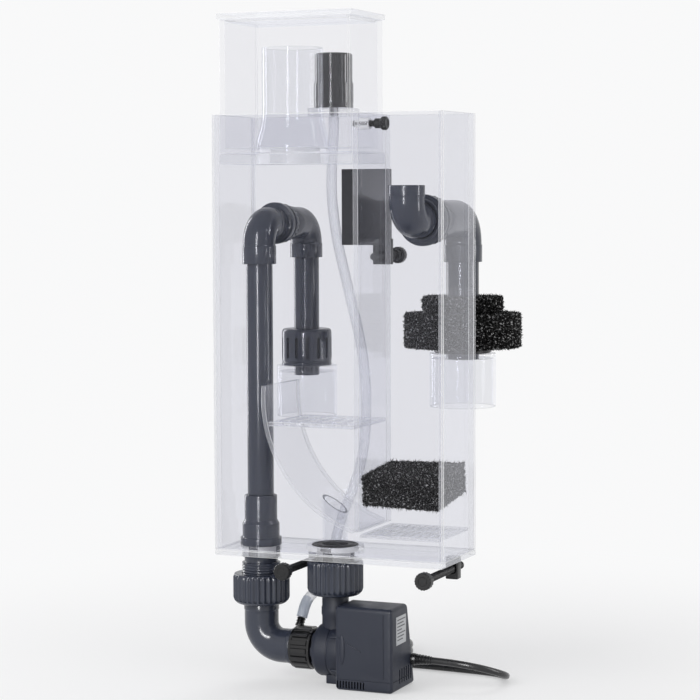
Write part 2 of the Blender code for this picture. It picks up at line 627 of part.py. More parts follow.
def make_rotor():
    """Needle wheel on its magnet, turning on a fixed ceramic shaft."""
    at = (0, MID_Y, PUMP_Z)
    bore = 0.0015 + GAP
    front, wheel, collar, magnet = 0.0950, 0.1060, 0.1185, 0.1520
    outline = [(bore, magnet), (0.0095, magnet), (0.0095, collar), (0.0050, collar - 0.001), (0.0050, wheel),
               (0.0150, wheel), (0.0150, wheel - 0.002), (0.0060, wheel - 0.002), (0.0060, front), (bore, front)]
    rotor = turned("impeller_rotor", outline, MAGNET, at, "X", steps=20)
    bm = bmesh.new()
    for i in range(10):
        made = bmesh.ops.create_cone(bm, cap_ends=True, segments=5, radius1=0.0011, radius2=0.0011, depth=0.0105)
        angle = 2 * pi * i / 10
        spot = (0.0115 * cos(angle), 0.0115 * sin(angle), wheel - 0.0062)
        bmesh.ops.translate(bm, verts=made["verts"], vec=spot)
    combine(rotor, mesh_object("needles", bm, None, at, ALONG["X"]), "UNION")
    rod("rotor_shaft", 0.0015, 0.0925, 0.1565, CERAMIC, at, "X", steps=10)


# ---------------------------------------------------------------- hanging and levelling

def make_rim_bracket():
    """The block behind the back panel, its arm over the tank's rim and the lug that holds the clamp screw."""
    back = BOX_D + GAP
    block = slab("rim_bracket", (0.0925, back, RIM_REST.z), (0.1400, 0.1003, 0.3618), BLACK)
    arm = slab("rim_arm", (HOOK_X[0], back + 0.004, RIM_REST.z), (HOOK_X[1], HOOK_BACK, RIM_REST.z + 0.0053), None)
    lug = slab("rim_lug", (HOOK_X[0], HOOK_BACK - 0.0085, 0.2702), (HOOK_X[1], HOOK_BACK, RIM_REST.z + 0.002), None)
    combine(block, arm, "UNION")
    combine(block, lug, "UNION")
    bore = rod("clamp_bore", SCREW_R + GAP, -0.03, 0.03, None, (RIM_REST.x, HOOK_BACK, CLAMP_Z), "Y", steps=16)
    combine(block, bore)


def thumbscrew(name, at, tip, head, steps=16):
    """A shaft and a knob on one axis along Y, the knob beyond the head, away from the tip."""
    side = 1 if head > tip else -1
    low, high = sorted((tip, head - side * GAP))
    rod(name + "_shaft", SCREW_R, low, high, BLACK, at, "Y", steps)
    knob = [(0, 0.0145), (KNOB_R, 0.0145), (KNOB_R, 0.0065), (0.0056, 0.0048), (0.0056, 0), (0, 0)]
    if side < 0:
        knob = [(radius, -height) for radius, height in reversed(knob)]
    knob = [(radius, height + head) for radius, height in knob]
    turned(name + "_knob", knob, BLACK, at, "Y", 20)


def make_screws():
    for side, x in zip(("left", "right"), LEVEL_X):
        thumbscrew("level_screw_" + side, (x, 0, LEVEL_Z), 0.0970, 0.0110)
    thumbscrew("clamp_screw", (RIM_REST.x, 0, CLAMP_Z), 0.1103, 0.1640)


def make_level_lugs():
    """Two lugs under the floor that the levelling screws run in."""
    for side, x in zip(("left", "right"), LEVEL_X):
        lug = slab("level_lug_" + side, (x - 0.006, LUG_Y[0], -0.0215), (x + 0.006, LUG_Y[1], -GAP), BLACK)
        combine(lug, rod("level_bore", SCREW_R + GAP, 0.05, 0.12, None, (x, 0, LEVEL_Z), "Y", steps=16))


# ---------------------------------------------------------------- air line

def make_silencer():
    """A stepped silencer standing on a small clear shelf at the back of the box."""
    at, low = SILENCER, 0
    outline = [(0, low + 0.0558), (0.0165, low + 0.0558), (0.0180, low + 0.0545), (0.0180, low + 0.0275),
               (0.0189, low + 0.0270), (0.0189, low + 0.0037), (0, low + 0.0037)]
    body = turned("air_silencer", outline, PVC, at, steps=28)
    stub = rod("silencer_stub", 0.0040, -0.0042, 0.0060, None, at, steps=12)
    combine(body, stub, "UNION")
    shelf = slab("silencer_shelf", (0.060, BOX_D - WALL, BOX_H + GAP), (0.098, 0.122, SILENCER.z + 0.0034), ACRYLIC)
    combine(shelf, rod("shelf_hole", 0.0046, -0.02, 0.02, None, SILENCER, steps=16))


def make_air_hose():
    route = smooth_route(millimetres(HOSE_ROUTE) + [BARB_END + BARB_WAY * 0.007], 0.014)
    hose = poly_curve("air_hose", route + [BARB_END], HOSE_R, 2, caps=True)
    place(hose, HOSE)


# ---------------------------------------------------------------- mains lead

def make_mains_lead():
    boot_end = CORD_EXIT.x + BOOT_LENGTH
    boot = [(0, BOOT_LENGTH - GAP), (0.0038, BOOT_LENGTH - GAP), (0.0050, 0.0035), (0.0056, 0.0030), (0.0056, GAP),
            (0, GAP)]
    turned("cord_boot", boot, RUBBER, CORD_EXIT, "X", steps=16)
    first = Vector((boot_end, CORD_EXIT.y, CORD_EXIT.z))
    reach = COIL_OUTER_TURN + 2 * CORD_R + GAP
    clear = sqrt(reach ** 2 - COIL_OUTER_TURN ** 2)
    low = FLOOR_Z + CORD_R + 0.00005
    last = Vector((COIL_CENTRE.x + clear, COIL_CENTRE.y - COIL_OUTER_TURN, low + COIL_LIFT))
    run = smooth_route([first] + millimetres(CORD_ROUTE) + [last], 0.012)
    cord = poly_curve("power_cord", run, CORD_R, 2, caps=True)
    place(cord, RUBBER)


def make_coil():
    outer = COIL_OUTER_TURN + CORD_R
    inner = outer - 2 * CORD_R * COIL_TURNS_ACROSS
    low = FLOOR_Z + COIL_LIFT
    high = low + 2 * CORD_R * COIL_LAYERS
    ring("cord_coil", outer, inner, low, high, RUBBER, COIL_CENTRE, steps=28)


def make_plug():
    """A plain two-pin mains plug on the cord's end, lying beside the coil."""
    x = COIL_CENTRE.x - COIL_OUTER_TURN
    start = COIL_CENTRE.y + sqrt((COIL_OUTER_TURN + 2 * CORD_R + GAP) ** 2 - COIL_OUTER_TURN ** 2)
    low, pin = FLOOR_Z + 0.0002, 0.019
    middle = FLOOR_Z + 0.0046
    plug = slab("mains_plug", (x - 0.0135, PLUG_Y + 0.014, low), (x + 0.0135, PLUG_Y + 0.036, low + 0.0150), BLACK)
    outline = [(0, PLUG_Y + 0.018), (0.0045, PLUG_Y + 0.018), (0.0038, PLUG_Y), (CORD_R, PLUG_Y - 0.0005),
               (CORD_R, start), (0, start)]
    relief = turned("plug_relief", outline, None, (x, 0, middle), "Y", steps=12)
    combine(plug, relief, "UNION")
    for side in (-1, 1):
        at = (x + side * 0.0095, PLUG_Y + 0.034, low + 0.0075)
        combine(plug, rod("plug_pin", 0.0020, 0, pin, None, at, "Y", steps=10), "UNION")


make_walls()
make_seat_plate()
make_baffle()
make_bubble_plate()
make_media_grate()
make_sponge_block()
drill_back_panel()
drill_bottom_panel()
drill_partition()
make_cup()
make_neck()
make_lid()
make_cup_lock()
make_intake_line()
make_strainer()
make_drain_line()
make_foams()
make_bulkhead_nuts()
make_floor_adapter()
make_inlet_elbow()
union_nut("inlet_union_nut", INTAKE_X, 0.0270, 0.0186, -0.0508, UNION_FACE)
make_outlet()
union_nut("outlet_union_nut", OUTLET_X, 0.0264, OUTLET_BODY_R + GAP, -0.0376, -0.0045)
make_venturi()
make_volute()
make_housing()
make_rotor()
make_rim_bracket()
make_screws()
make_level_lugs()
make_silencer()
make_air_hose()
make_mains_lead()
make_coil()
make_plug()
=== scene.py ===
"""Looks for the hang-on-back protein skimmer: a clear acrylic box, PVC lines, a pump, sponges and a mains lead."""

import json
import random
from math import atan2, cos, pi, radians, sin

import bmesh
import bpy
from mathutils import Matrix, Vector, noise


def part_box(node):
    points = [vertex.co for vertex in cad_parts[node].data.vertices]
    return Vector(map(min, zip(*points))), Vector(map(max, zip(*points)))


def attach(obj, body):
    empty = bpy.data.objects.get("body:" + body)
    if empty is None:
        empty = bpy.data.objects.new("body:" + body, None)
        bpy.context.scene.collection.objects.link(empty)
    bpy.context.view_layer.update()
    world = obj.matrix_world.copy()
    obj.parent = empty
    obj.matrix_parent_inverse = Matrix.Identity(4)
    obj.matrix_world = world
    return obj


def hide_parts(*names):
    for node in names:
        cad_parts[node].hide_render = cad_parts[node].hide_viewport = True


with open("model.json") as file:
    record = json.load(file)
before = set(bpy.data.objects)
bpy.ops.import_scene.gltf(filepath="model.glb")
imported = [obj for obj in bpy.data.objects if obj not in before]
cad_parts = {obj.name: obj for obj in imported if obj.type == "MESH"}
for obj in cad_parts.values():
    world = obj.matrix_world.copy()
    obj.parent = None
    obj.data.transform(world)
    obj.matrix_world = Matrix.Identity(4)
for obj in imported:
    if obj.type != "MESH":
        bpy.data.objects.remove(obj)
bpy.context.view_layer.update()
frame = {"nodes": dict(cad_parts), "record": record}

MM = 0.001
NODES = frame["nodes"]
CORNER = Vector(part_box("bottom_panel")[0])      # the box's lower front left corner
# Upright pipe axes and the height of the pump's level axis, in the box's millimetres
RISER_LINE, INTAKE_LINE, OUTLET_LINE, DRAIN_LINE = (27, 45, 0), (27, 154, 0), (104, 45, 0), (179, 189, 0)
PUMP_Z = -91
FLOOR = min(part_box("motor_housing")[0][2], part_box("cord_coil")[0][2])


def at(x, y, z):
    """A point in the row frame, from millimetres in the box's own coordinates."""
    return CORNER + Vector((x, y, z)) * MM


def in_mm(point):
    """A point of the row frame in the box's own millimetres."""
    return (point - CORNER) / MM


def low(node):
    """A node's lowest corner in the box's millimetres."""
    return in_mm(Vector(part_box(node)[0]))


def high(node):
    return in_mm(Vector(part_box(node)[1]))


def clamp(value, least=0.0, most=1.0):
    return min(max(value, least), most)


BODY_OF = {node: body for body, nodes in frame["record"]["behaviour"]["bodies"].items() for node in nodes}


# ---------------------------------------------------------------- camera and light

VIEW_TURN, VIEW_PITCH, VIEW_ROLL = radians(22.989), radians(3.998), radians(-0.231)
VIEW_CENTRE, VIEW_DISTANCE = at(119.9, 45, 193.0), 2.050
SENSOR, LENS = 36, 113.05


def make_camera():
    """The photograph's view of the box."""
    forward = Vector((-sin(VIEW_TURN) * cos(VIEW_PITCH), cos(VIEW_TURN) * cos(VIEW_PITCH), -sin(VIEW_PITCH)))
    right = Vector((cos(VIEW_TURN), sin(VIEW_TURN), 0))
    up = right.cross(forward)
    right, up = right * cos(VIEW_ROLL) + up * sin(VIEW_ROLL), up * cos(VIEW_ROLL) - right * sin(VIEW_ROLL)
    data = bpy.data.cameras.new("camera")
    data.sensor_width, data.lens = SENSOR, LENS
    camera = bpy.data.objects.new("camera", data)
    place = VIEW_CENTRE - forward * VIEW_DISTANCE
    camera.matrix_world = Matrix((
        (right.x, up.x, -forward.x, place.x), (right.y, up.y, -forward.y, place.y),
        (right.z, up.z, -forward.z, place.z), (0, 0, 0, 1)))
    bpy.context.scene.collection.objects.link(camera)
    bpy.context.scene.camera = camera


# Each light: its azimuth, distance and height from LIT (0 is in front of the box and 90 on its right), size and power
LIT = at(114, 45, 200)
STRIPS = (("strip", 4.0, 1.9, 0.1, 0.26, 2.2, 46),
          ("side_strip", 104, 1.6, 0.2, 0.22, 1.8, 14),
          ("back_strip", 246, 1.8, 0.2, 0.30, 2.0, 16))
FILLS = (("front_fill", -30, 2.2, 1.0, 1.6, 1.6, 30),
         ("right_fill", 70, 2.2, 1.2, 1.4, 1.4, 7),
         ("back_fill", 190, 2.3, 1.2, 1.6, 1.6, 26))


def make_lights():
    """Tall strips that only gloss shows, and broad fills that gloss doesn't show."""
    for row in STRIPS + FILLS:
        name, azimuth, distance, rise, width, height, power = row
        angle = radians(azimuth)
        data = bpy.data.lights.new(name, "AREA")
        data.shape = "RECTANGLE"
        data.size, data.size_y, data.energy = width, height, power
        light = bpy.data.objects.new(name, data)
        place = LIT + Vector((sin(angle) * distance, -cos(angle) * distance, rise))
        light.location = place
        light.rotation_euler = (LIT - place).to_track_quat("-Z", "Y").to_euler()
        light.visible_camera = light.visible_transmission = False
        light.visible_diffuse, light.visible_glossy = row in FILLS, row in STRIPS
        bpy.context.scene.collection.objects.link(light)


BACKDROP = (0.945, 0.946, 0.950)
ROOM_LIGHT = 0.52           # the room as matt surfaces see it, against 1 for the backdrop
ROOM_MIRRORED = 0.86        # the room as glossy surfaces show it


def add_node(tree, kind, values=None, links=None, **settings):
    """A new shader node, with its settings, the values of its inputs and the sockets that feed them."""
    node = tree.nodes.new("ShaderNode" + kind)
    for key, value in settings.items():
        setattr(node, key, value)
    for key, value in (values or {}).items():
        node.inputs[key].default_value = value
    for key, socket in (links or {}).items():
        tree.links.new(socket, node.inputs[key])
    return node


def blend(tree, share, first, second):
    """A mix of two shaders, by the share of the second."""
    return add_node(tree, "MixShader", {}, {0: share, 1: first.outputs[0], 2: second.outputs[0]})


def make_world():
    world = bpy.data.worlds.new("studio")
    scene = bpy.context.scene
    scene.world = world
    world.use_nodes = True
    tree = world.node_tree
    background = tree.nodes["Background"]
    background.inputs["Color"].default_value = (*BACKDROP, 1)
    path = add_node(tree, "LightPath").outputs
    mirrored = add_node(tree, "MapRange", {"To Min": ROOM_LIGHT, "To Max": ROOM_MIRRORED},
                        {"Value": path["Is Glossy Ray"]})
    strength = add_node(tree, "MapRange", {"To Max": 1.0},
                        {"To Min": mirrored.outputs["Result"], "Value": path["Is Camera Ray"]})
    tree.links.new(strength.outputs["Result"], background.inputs["Strength"])
    scene.view_settings.view_transform = "Standard"
    scene.cycles.transparent_max_bounces = 64
    scene.cycles.max_bounces = 10


def make_floor():
    """A round pale floor that fades into the backdrop."""
    bm = bmesh.new()
    bmesh.ops.create_circle(bm, cap_ends=True, segments=96, radius=9.0)
    mesh = bpy.data.meshes.new("floor")
    bm.to_mesh(mesh)
    bm.free()
    floor = bpy.data.objects.new("floor", mesh)
    floor.location = (0, 0, FLOOR - 0.0001)
    material = bpy.data.materials.new("floor")
    material.use_nodes = True
    tree = material.node_tree
    tree.nodes.clear()
    coords = add_node(tree, "TexCoord")
    away = add_node(tree, "VectorMath", {}, {0: coords.outputs["Object"]}, operation="LENGTH")
    fade = add_node(tree, "MapRange", {"From Min": 0.10, "From Max": 0.75, "To Min": 0.38},
                    {"Value": away.outputs["Value"]}, interpolation_type="SMOOTHSTEP")
    diffuse = add_node(tree, "BsdfDiffuse", {"Color": (0.90, 0.90, 0.905, 1)})
    glow = add_node(tree, "Emission", {"Color": (*BACKDROP, 1)})
    mix = blend(tree, fade.outputs["Result"], diffuse, glow)
    add_node(tree, "OutputMaterial", {}, {"Surface": mix.outputs[0]})
    mesh.materials.append(material)
    bpy.context.scene.collection.objects.link(floor)


make_camera()
make_world()
make_lights()
make_floor()


# ---------------------------------------------------------------- materials

def new_tree(name):
    material = bpy.data.materials.new(name)
    material.use_nodes = True
    return material, material.node_tree, material.node_tree.nodes["Principled BSDF"]


def noise_node(tree, scale, detail):
    coords = add_node(tree, "TexCoord")
    made = add_node(tree, "TexNoise", {"Scale": scale, "Detail": detail}, {"Vector": coords.outputs["Object"]})
    return made.outputs["Fac"]


def spread(tree, value, first, second):
    """Maps 0.3..0.7 of a noise to a range."""
    ends = {"From Min": 0.3, "From Max": 0.7, "To Min": first, "To Max": second}
    return add_node(tree, "MapRange", ends, {"Value": value}).outputs["Result"]


def two_tone(tree, value, dark, light):
    made = add_node(tree, "Mix", {"A": (*dark, 1), "B": (*light, 1)}, {"Factor": value}, data_type="RGBA")
    return made.outputs["Result"]


def bump(tree, value, shader, strength, distance):
    made = add_node(tree, "Bump", {"Strength": strength, "Distance": distance}, {"Height": value})
    tree.links.new(made.outputs["Normal"], shader.inputs["Normal"])


def moulded(name, colour, rough, grain=0.00003, grain_scale=2600, drift=0.10, specular=0.5):
    """Moulded plastic: slight drift in colour, uneven gloss and a fine grain."""
    material, tree, shader = new_tree(name)
    dark, light = (tuple(c * share for c in colour) for share in (1 - drift, 1 + drift))
    cloud = spread(tree, noise_node(tree, 14, 4), 0, 1)
    tree.links.new(two_tone(tree, cloud, dark, light), shader.inputs["Base Color"])
    smudge = spread(tree, noise_node(tree, 45, 5), rough * 0.85, rough * 1.2)
    tree.links.new(smudge, shader.inputs["Roughness"])
    shader.inputs["Specular IOR Level"].default_value = specular
    bump(tree, noise_node(tree, grain_scale, 2), shader, 0.35, grain)
    return material


FACING_MIRROR = 0.006       # the share of light that a clear skin mirrors when it is seen square on


def clear(name, tint, haze, haze_colour, mirror=0.96, rough=0.015):
    """Clear acrylic as a thin skin: it lets light straight through, with a little haze, and mirrors at a slant."""
    material, tree, shader = new_tree(name)
    tree.nodes.remove(shader)
    through = add_node(tree, "BsdfTransparent", {"Color": (*tint, 1)})
    scatter = add_node(tree, "BsdfDiffuse", {"Color": (*haze_colour, 1)})
    gloss = add_node(tree, "BsdfGlossy", {"Roughness": rough, "Color": (0.95, 0.96, 1.0, 1)})
    skin = blend(tree, spread(tree, noise_node(tree, 9, 3), haze * 0.8, haze * 1.2), through, scatter)
    slant = add_node(tree, "LayerWeight", {"Blend": 0.5}).outputs["Facing"]
    power = add_node(tree, "Math", {1: 5.0}, {0: slant}, operation="POWER").outputs[0]
    share = add_node(tree, "Math", {1: mirror, 2: FACING_MIRROR}, {0: power}, operation="MULTIPLY_ADD")
    coat = blend(tree, share.outputs[0], skin, gloss)
    tree.links.new(coat.outputs[0], tree.nodes["Material Output"].inputs["Surface"])
    return material


PVC = moulded("grey_pvc", (0.036, 0.042, 0.062), 0.19, grain=0.000002, grain_scale=700, drift=0.03)
PUMP = moulded("pump_plastic", (0.014, 0.018, 0.033), 0.46, grain=0.00002, grain_scale=1800, drift=0.04, specular=0.4)
BLACK = moulded("black_plastic", (0.008, 0.008, 0.009), 0.34, specular=0.4)
SMOKE = moulded("silencer_plastic", (0.009, 0.0095, 0.011), 0.12, grain=0.000004, drift=0.04)
BLACK_GLOSS = moulded("black_gloss", (0.007, 0.007, 0.008), 0.16, specular=0.6)
FLANGE = moulded("flange_black", (0.005, 0.005, 0.006), 0.42, specular=0.12)
MAGNET = moulded("magnet", (0.04, 0.04, 0.045), 0.4)
CERAMIC = moulded("ceramic", (0.78, 0.78, 0.74), 0.2, drift=0.02)
BRASS = moulded("pin_metal", (0.72, 0.60, 0.38), 0.25, drift=0.04)
BRASS.node_tree.nodes["Principled BSDF"].inputs["Metallic"].default_value = 1.0
FACE = clear("acrylic_face", (0.943, 0.944, 0.957), 0.007, (0.62, 0.62, 0.65))
# Painted reflection: the right side panel gets extra white haze for the bright room it mirrors.
SIDE_FACE = clear("acrylic_side_painted_reflection", (0.950, 0.951, 0.963), 0.030, (0.80, 0.80, 0.83))
CUP_FACE = clear("acrylic_cup", (0.974, 0.974, 0.980), 0.012, (0.85, 0.85, 0.87))
BAFFLE_FACE = clear("acrylic_baffle", (0.972, 0.972, 0.976), 0.045, (0.90, 0.90, 0.91))
TUBE = clear("acrylic_tube", (0.960, 0.962, 0.970), 0.018, (0.75, 0.75, 0.78), mirror=0.45)
# Painted shade: the outlet tube's cut rim gets a dark haze for the dark edge its thick clear wall shows.
RIM = clear("tube_rim_painted_shade", (0.60, 0.62, 0.66), 0.75, (0.10, 0.11, 0.13), mirror=0.5, rough=0.1)
EDGE = clear("acrylic_edge", (0.950, 0.952, 0.958), 0.20, (0.95, 0.955, 0.96), mirror=0.6, rough=0.08)
# Painted highlight: the arrises' near-white haze stands for light caught along the sheets' corners.
ARRIS = clear("acrylic_arris_painted_highlight", (0.90, 0.905, 0.91), 0.78, (0.97, 0.97, 0.975), mirror=0.5, rough=0.08)


# ---------------------------------------------------------------- shapes

def finish_piece(name, data, nodes, materials):
    """Puts a piece in the scene on its nodes' body, or on the root when it stands for none."""
    obj = bpy.data.objects.new(name, data)
    bpy.context.scene.collection.objects.link(obj)
    for material in materials:
        data.materials.append(material)
    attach(obj, BODY_OF[nodes[0]] if nodes else "root")
    if nodes:
        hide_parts(*nodes)
    return obj


def mesh_piece(name, bm, nodes, materials, limit=30):
    """A piece from a bmesh, smooth except at edges sharper than limit degrees."""
    bmesh.ops.recalc_face_normals(bm, faces=bm.faces)
    mesh = bpy.data.meshes.new(name)
    bm.to_mesh(mesh)
    bm.free()
    for face in mesh.polygons:
        face.use_smooth = True
    mesh.set_sharp_from_angle(angle=radians(limit))
    return finish_piece(name, mesh, nodes, materials)


AXES = {"X": (Vector((0, 1, 0)), Vector((0, 0, 1)), Vector((1, 0, 0))),
        "Y": (Vector((1, 0, 0)), Vector((0, 0, 1)), Vector((0, 1, 0))),
        "Z": (Vector((1, 0, 0)), Vector((0, 1, 0)), Vector((0, 0, 1)))}


def lathe(bm, profile, centre, axis="Z", steps=96, index=0, wave=None, closed=True):
    """Turns a profile of (radius, height) in millimetres round an axis through centre. wave(angle, k) adds to the
    radius of profile point k."""
    first, second, along = AXES[axis] if isinstance(axis, str) else axis
    base = CORNER + Vector(centre) * MM
    rings = []
    for k, (radius, height) in enumerate(profile):
        if radius < 0.01:
            rings.append([bm.verts.new(base + along * height * MM)])
            continue
        ring = []
        for i in range(steps):
            angle = 2 * pi * i / steps
            r = radius + (wave(angle, k) if wave else 0)
            ring.append(bm.verts.new(base + (first * cos(angle) + second * sin(angle)) * r * MM
                                     + along * height * MM))
        rings.append(ring)
    pairs = list(zip(rings, rings[1:]))
    if closed:
        pairs.append((rings[-1], rings[0]))
    for a, b in pairs:
        if len(a) == 1 and len(b) == 1:
            continue
        for i in range(steps):
            j = (i + 1) % steps
            if len(a) == 1:
                corners = [a[0], b[j], b[i]]
            elif len(b) == 1:
                corners = [a[i], a[j], b[0]]
            else:
                corners = [a[i], a[j], b[j], b[i]]
            bm.faces.new(corners).material_index = index


def soften(profile, amount=0.5, closed=True, steps=3):
    """Rounds a profile's corners by up to amount millimetres."""
    points = [Vector(p) for p in profile]
    out = []
    count = len(points)
    for i, point in enumerate(points):
        ends = not closed and i in (0, count - 1)
        before, after = points[i - 1], points[(i + 1) % count]
        a, b = before - point, after - point
        short = a.length < 1e-6 or b.length < 1e-6
        if ends or point.x < 0.01 or short or abs(a.normalized().dot(b.normalized()) + 1) < 0.02:
            out.append((point.x, point.y))
            continue
        cut = min(amount, a.length * 0.45, b.length * 0.45)
        start, end = point + a.normalized() * cut, point + b.normalized() * cut
        for k in range(steps + 1):
            t = k / steps
            p = start * (1 - t) ** 2 + point * 2 * t * (1 - t) + end * t ** 2
            out.append((p.x, p.y))
    return out


def turned(name, node, profile, centre, material, round_by, axis="Z"):
    """A lathed ring or tube from its closed profile."""
    bm = bmesh.new()
    lathe(bm, soften(profile, round_by), centre, axis)
    mesh_piece(name, bm, [node], [material], 35)


def ribbed(name, node, profile, ribs, depth, band, centre, axis, round_by):
    """A nut with ribs down its side: band is (low radius, low height, high height) of the ribbed part."""
    soft = soften(profile, round_by)
    least, low_z, high_z = band

    def wave(angle, k):
        radius, height = soft[k]
        if radius < least or not low_z <= height <= high_z:
            return 0.0
        return depth * (cos(angle * ribs / 2) ** 2 - 1)

    bm = bmesh.new()
    lathe(bm, soft, centre, axis, ribs * 10, wave=wave)
    mesh_piece(name, bm, [node], [PVC], 28)


def frames_along(points):
    """Parallel-carried frames on a list of points: (point, first, second) each."""
    tangents = []
    for i in range(len(points)):
        a, b = points[max(i - 1, 0)], points[min(i + 1, len(points) - 1)]
        tangents.append((b - a).normalized())
    reference = Vector((0, 0, 1)) if abs(tangents[0].z) < 0.9 else Vector((1, 0, 0))
    first = (reference - tangents[0] * reference.dot(tangents[0])).normalized()
    out = []
    for point, tangent in zip(points, tangents):
        first = (first - tangent * first.dot(tangent)).normalized()
        out.append((point, first, tangent.cross(first)))
    return out


def sweep(bm, stations, steps=72):
    """Joins rings at stations of (point, first, second, radius), and the last ring to the first."""
    rings = []
    for point, first, second, radius in stations:
        ring = []
        for i in range(steps):
            angle = 2 * pi * i / steps
            ring.append(bm.verts.new(point + (first * cos(angle) + second * sin(angle)) * radius))
        rings.append(ring)
    for a, b in zip(rings, rings[1:] + rings[:1]):
        for i in range(steps):
            j = (i + 1) % steps
            bm.faces.new([a[i], a[j], b[j], b[i]])


def bend_points(start, corner, end, radius, arc=16):
    """A straight run, a quarter bend and a straight run, in metres."""
    into, out = (corner - start).normalized(), (end - corner).normalized()
    first, last = corner - into * radius, corner + out * radius
    centre = first + out * radius
    points = [start, start.lerp(first, 0.5), first]
    for k in range(1, arc):
        angle = pi / 2 * k / arc
        points.append(centre - out * cos(angle) * radius + into * sin(angle) * radius)
    return points + [last, last.lerp(end, 0.5), end]


def elbow(node, start, corner, end, bend, outer, inner, sockets):
    """A moulded elbow: outer and inner radii in the bend, and at each end (length, outer, inner) of its socket."""
    a, b, c = at(*start), at(*corner), at(*end)
    line = bend_points(a, b, c, bend * MM)
    length = [0.0]
    for p, q in zip(line, line[1:]):
        length.append(length[-1] + (q - p).length / MM)
    total = length[-1]
    (la, oa, ia), (lb, ob, ib) = sockets

    def place(distance):
        distance = clamp(distance, 0, total)
        for k in range(len(line) - 1):
            if distance <= length[k + 1] + 1e-9:
                share = (distance - length[k]) / (length[k + 1] - length[k])
                return line[k].lerp(line[k + 1], share)
        return line[-1]

    outline = [(0.0, oa - 0.5), (0.18, oa - 0.15), (0.5, oa)]
    if oa > outer:
        outline += [(la - 0.4, oa), (la, oa - 0.35), (la + 0.25, outer + 0.15), (la + 0.8, outer)]
    middle = [0.5 + (total - 1) * k / 30 for k in range(31)]
    low = la + 1.2 if oa > outer else 0.9
    high = total - lb - 1.2 if ob > outer else total - 0.9
    outline += [(d, outer) for d in middle if low < d < high]
    if ob > outer:
        outline += [(total - lb - 0.8, outer), (total - lb - 0.25, outer + 0.15), (total - lb, ob - 0.35),
                    (total - lb + 0.4, ob)]
    outline += [(total - 0.5, ob), (total - 0.18, ob - 0.15), (total, ob - 0.5)]
    inside = [(total, ib + 0.25), (total - 0.3, ib)]
    if ib > inner:
        inside += [(total - lb * 0.8, ib), (total - lb * 0.8 - 0.01, inner)]
        edge = total - lb * 0.8 - 0.5
    else:
        edge = total - 0.8
    start_edge = la * 0.8 + 0.5 if ia > inner else 0.8
    inside += [(d, inner) for d in reversed(middle) if start_edge < d < edge]
    if ia > inner:
        inside += [(la * 0.8 + 0.01, inner), (la * 0.8, ia)]
    inside += [(0.3, ia), (0.0, ia + 0.25)]
    places = [place(d) for d, _ in outline + inside]
    into, out = (b - a).normalized(), (c - b).normalized()
    side = into.cross(out)
    stations = []
    for (distance, radius), point in zip(outline + inside, places):
        near, far = place(distance - 0.6), place(distance + 0.6)
        tangent = (far - near).normalized()
        stations.append((point, side, tangent.cross(side).normalized(), radius * MM))
    bm = bmesh.new()
    sweep(bm, stations)
    mesh_piece(node + "_moulded", bm, [node], [PVC])


def block(bm, lo, hi, round_by=0.8, steps=3, matrix=None):
    """A rounded block from lo to hi in the box's millimetres."""
    made = bmesh.ops.create_cube(bm, size=1.0)["verts"]
    lo, hi = Vector(lo), Vector(hi)
    size, centre = hi - lo, (lo + hi) / 2
    for v in made:
        v.co = CORNER + (centre + Vector((v.co.x * size.x, v.co.y * size.y, v.co.z * size.z))) * MM
    edges = list(dict.fromkeys(e for v in made for e in v.link_edges))      # a set's order changes from run to run
    faces = bmesh.ops.bevel(bm, geom=edges, offset=round_by * MM, segments=steps, affect="EDGES", profile=0.5,
                            clamp_overlap=True)["faces"]
    if matrix:
        for v in dict.fromkeys(v for f in faces for v in f.verts):
            v.co = matrix @ v.co


def about(centre, angle, axis):
    """A turn round a point that is in the box's millimetres."""
    centre = at(*centre)
    return Matrix.Translation(centre) @ Matrix.Rotation(angle, 4, axis) @ Matrix.Translation(-centre)


def cad_copy(node):
    """A bmesh of a CAD node with its flat triangles joined."""
    bm = bmesh.new()
    bm.from_mesh(NODES[node].data)
    bmesh.ops.remove_doubles(bm, verts=bm.verts, dist=0.00001)
    bmesh.ops.dissolve_limit(bm, angle_limit=radians(0.5), verts=bm.verts, edges=bm.edges)
    return bm


def chamfer(bm, amount, segments=2, limit=40):
    edges = [e for e in bm.edges if len(e.link_faces) == 2 and e.calc_face_angle(0) > radians(limit)]
    bmesh.ops.bevel(bm, geom=edges, offset=amount * MM, segments=segments, affect="EDGES", profile=0.5,
                    clamp_overlap=True)


SHEET_ARRIS = 0.35          # mm
# The right side panel and the chamber top plate get lighter, whiter acrylic: painted reflection of the bright room they
# mirror at a slant.
BROAD_FACES = {"side_panel_right": SIDE_FACE, "cup_lid": CUP_FACE, "chamber_top_plate": CUP_FACE}


def sheet_piece(node, across):
    """An acrylic sheet from its CAD node: clear broad faces, hazy sawn edges and arrises painted near white as a
    painted highlight. across is the axis through its thickness."""
    bm = cad_copy(node)
    axis = "XYZ".index(across)
    chamfer(bm, SHEET_ARRIS)
    bm.normal_update()
    for face in bm.faces:
        broad = abs(face.normal[axis]) > 0.97
        sloped = max(abs(c) for c in face.normal) < 0.97
        face.material_index = 0 if broad else 2 if sloped else 1
    mesh_piece(node + "_sheet", bm, [node], [BROAD_FACES.get(node, FACE), EDGE, ARRIS], 20)


# ---------------------------------------------------------------- cords: the mains lead and the air hose

def through(points, spacing):
    """Evenly spaced points along a smooth curve through the given ones."""
    dense = []
    count = len(points)
    for i in range(count - 1):
        before, here = points[max(i - 1, 0)], points[i]
        there, after = points[i + 1], points[min(i + 2, count - 1)]
        for step in range(20):
            t = step / 20
            dense.append(0.5 * (2 * here + (there - before) * t
                                + (2 * before - 5 * here + 4 * there - after) * t * t
                                + (3 * here - before - 3 * there + after) * t ** 3))
    dense.append(points[-1])
    return evenly(dense, spacing)


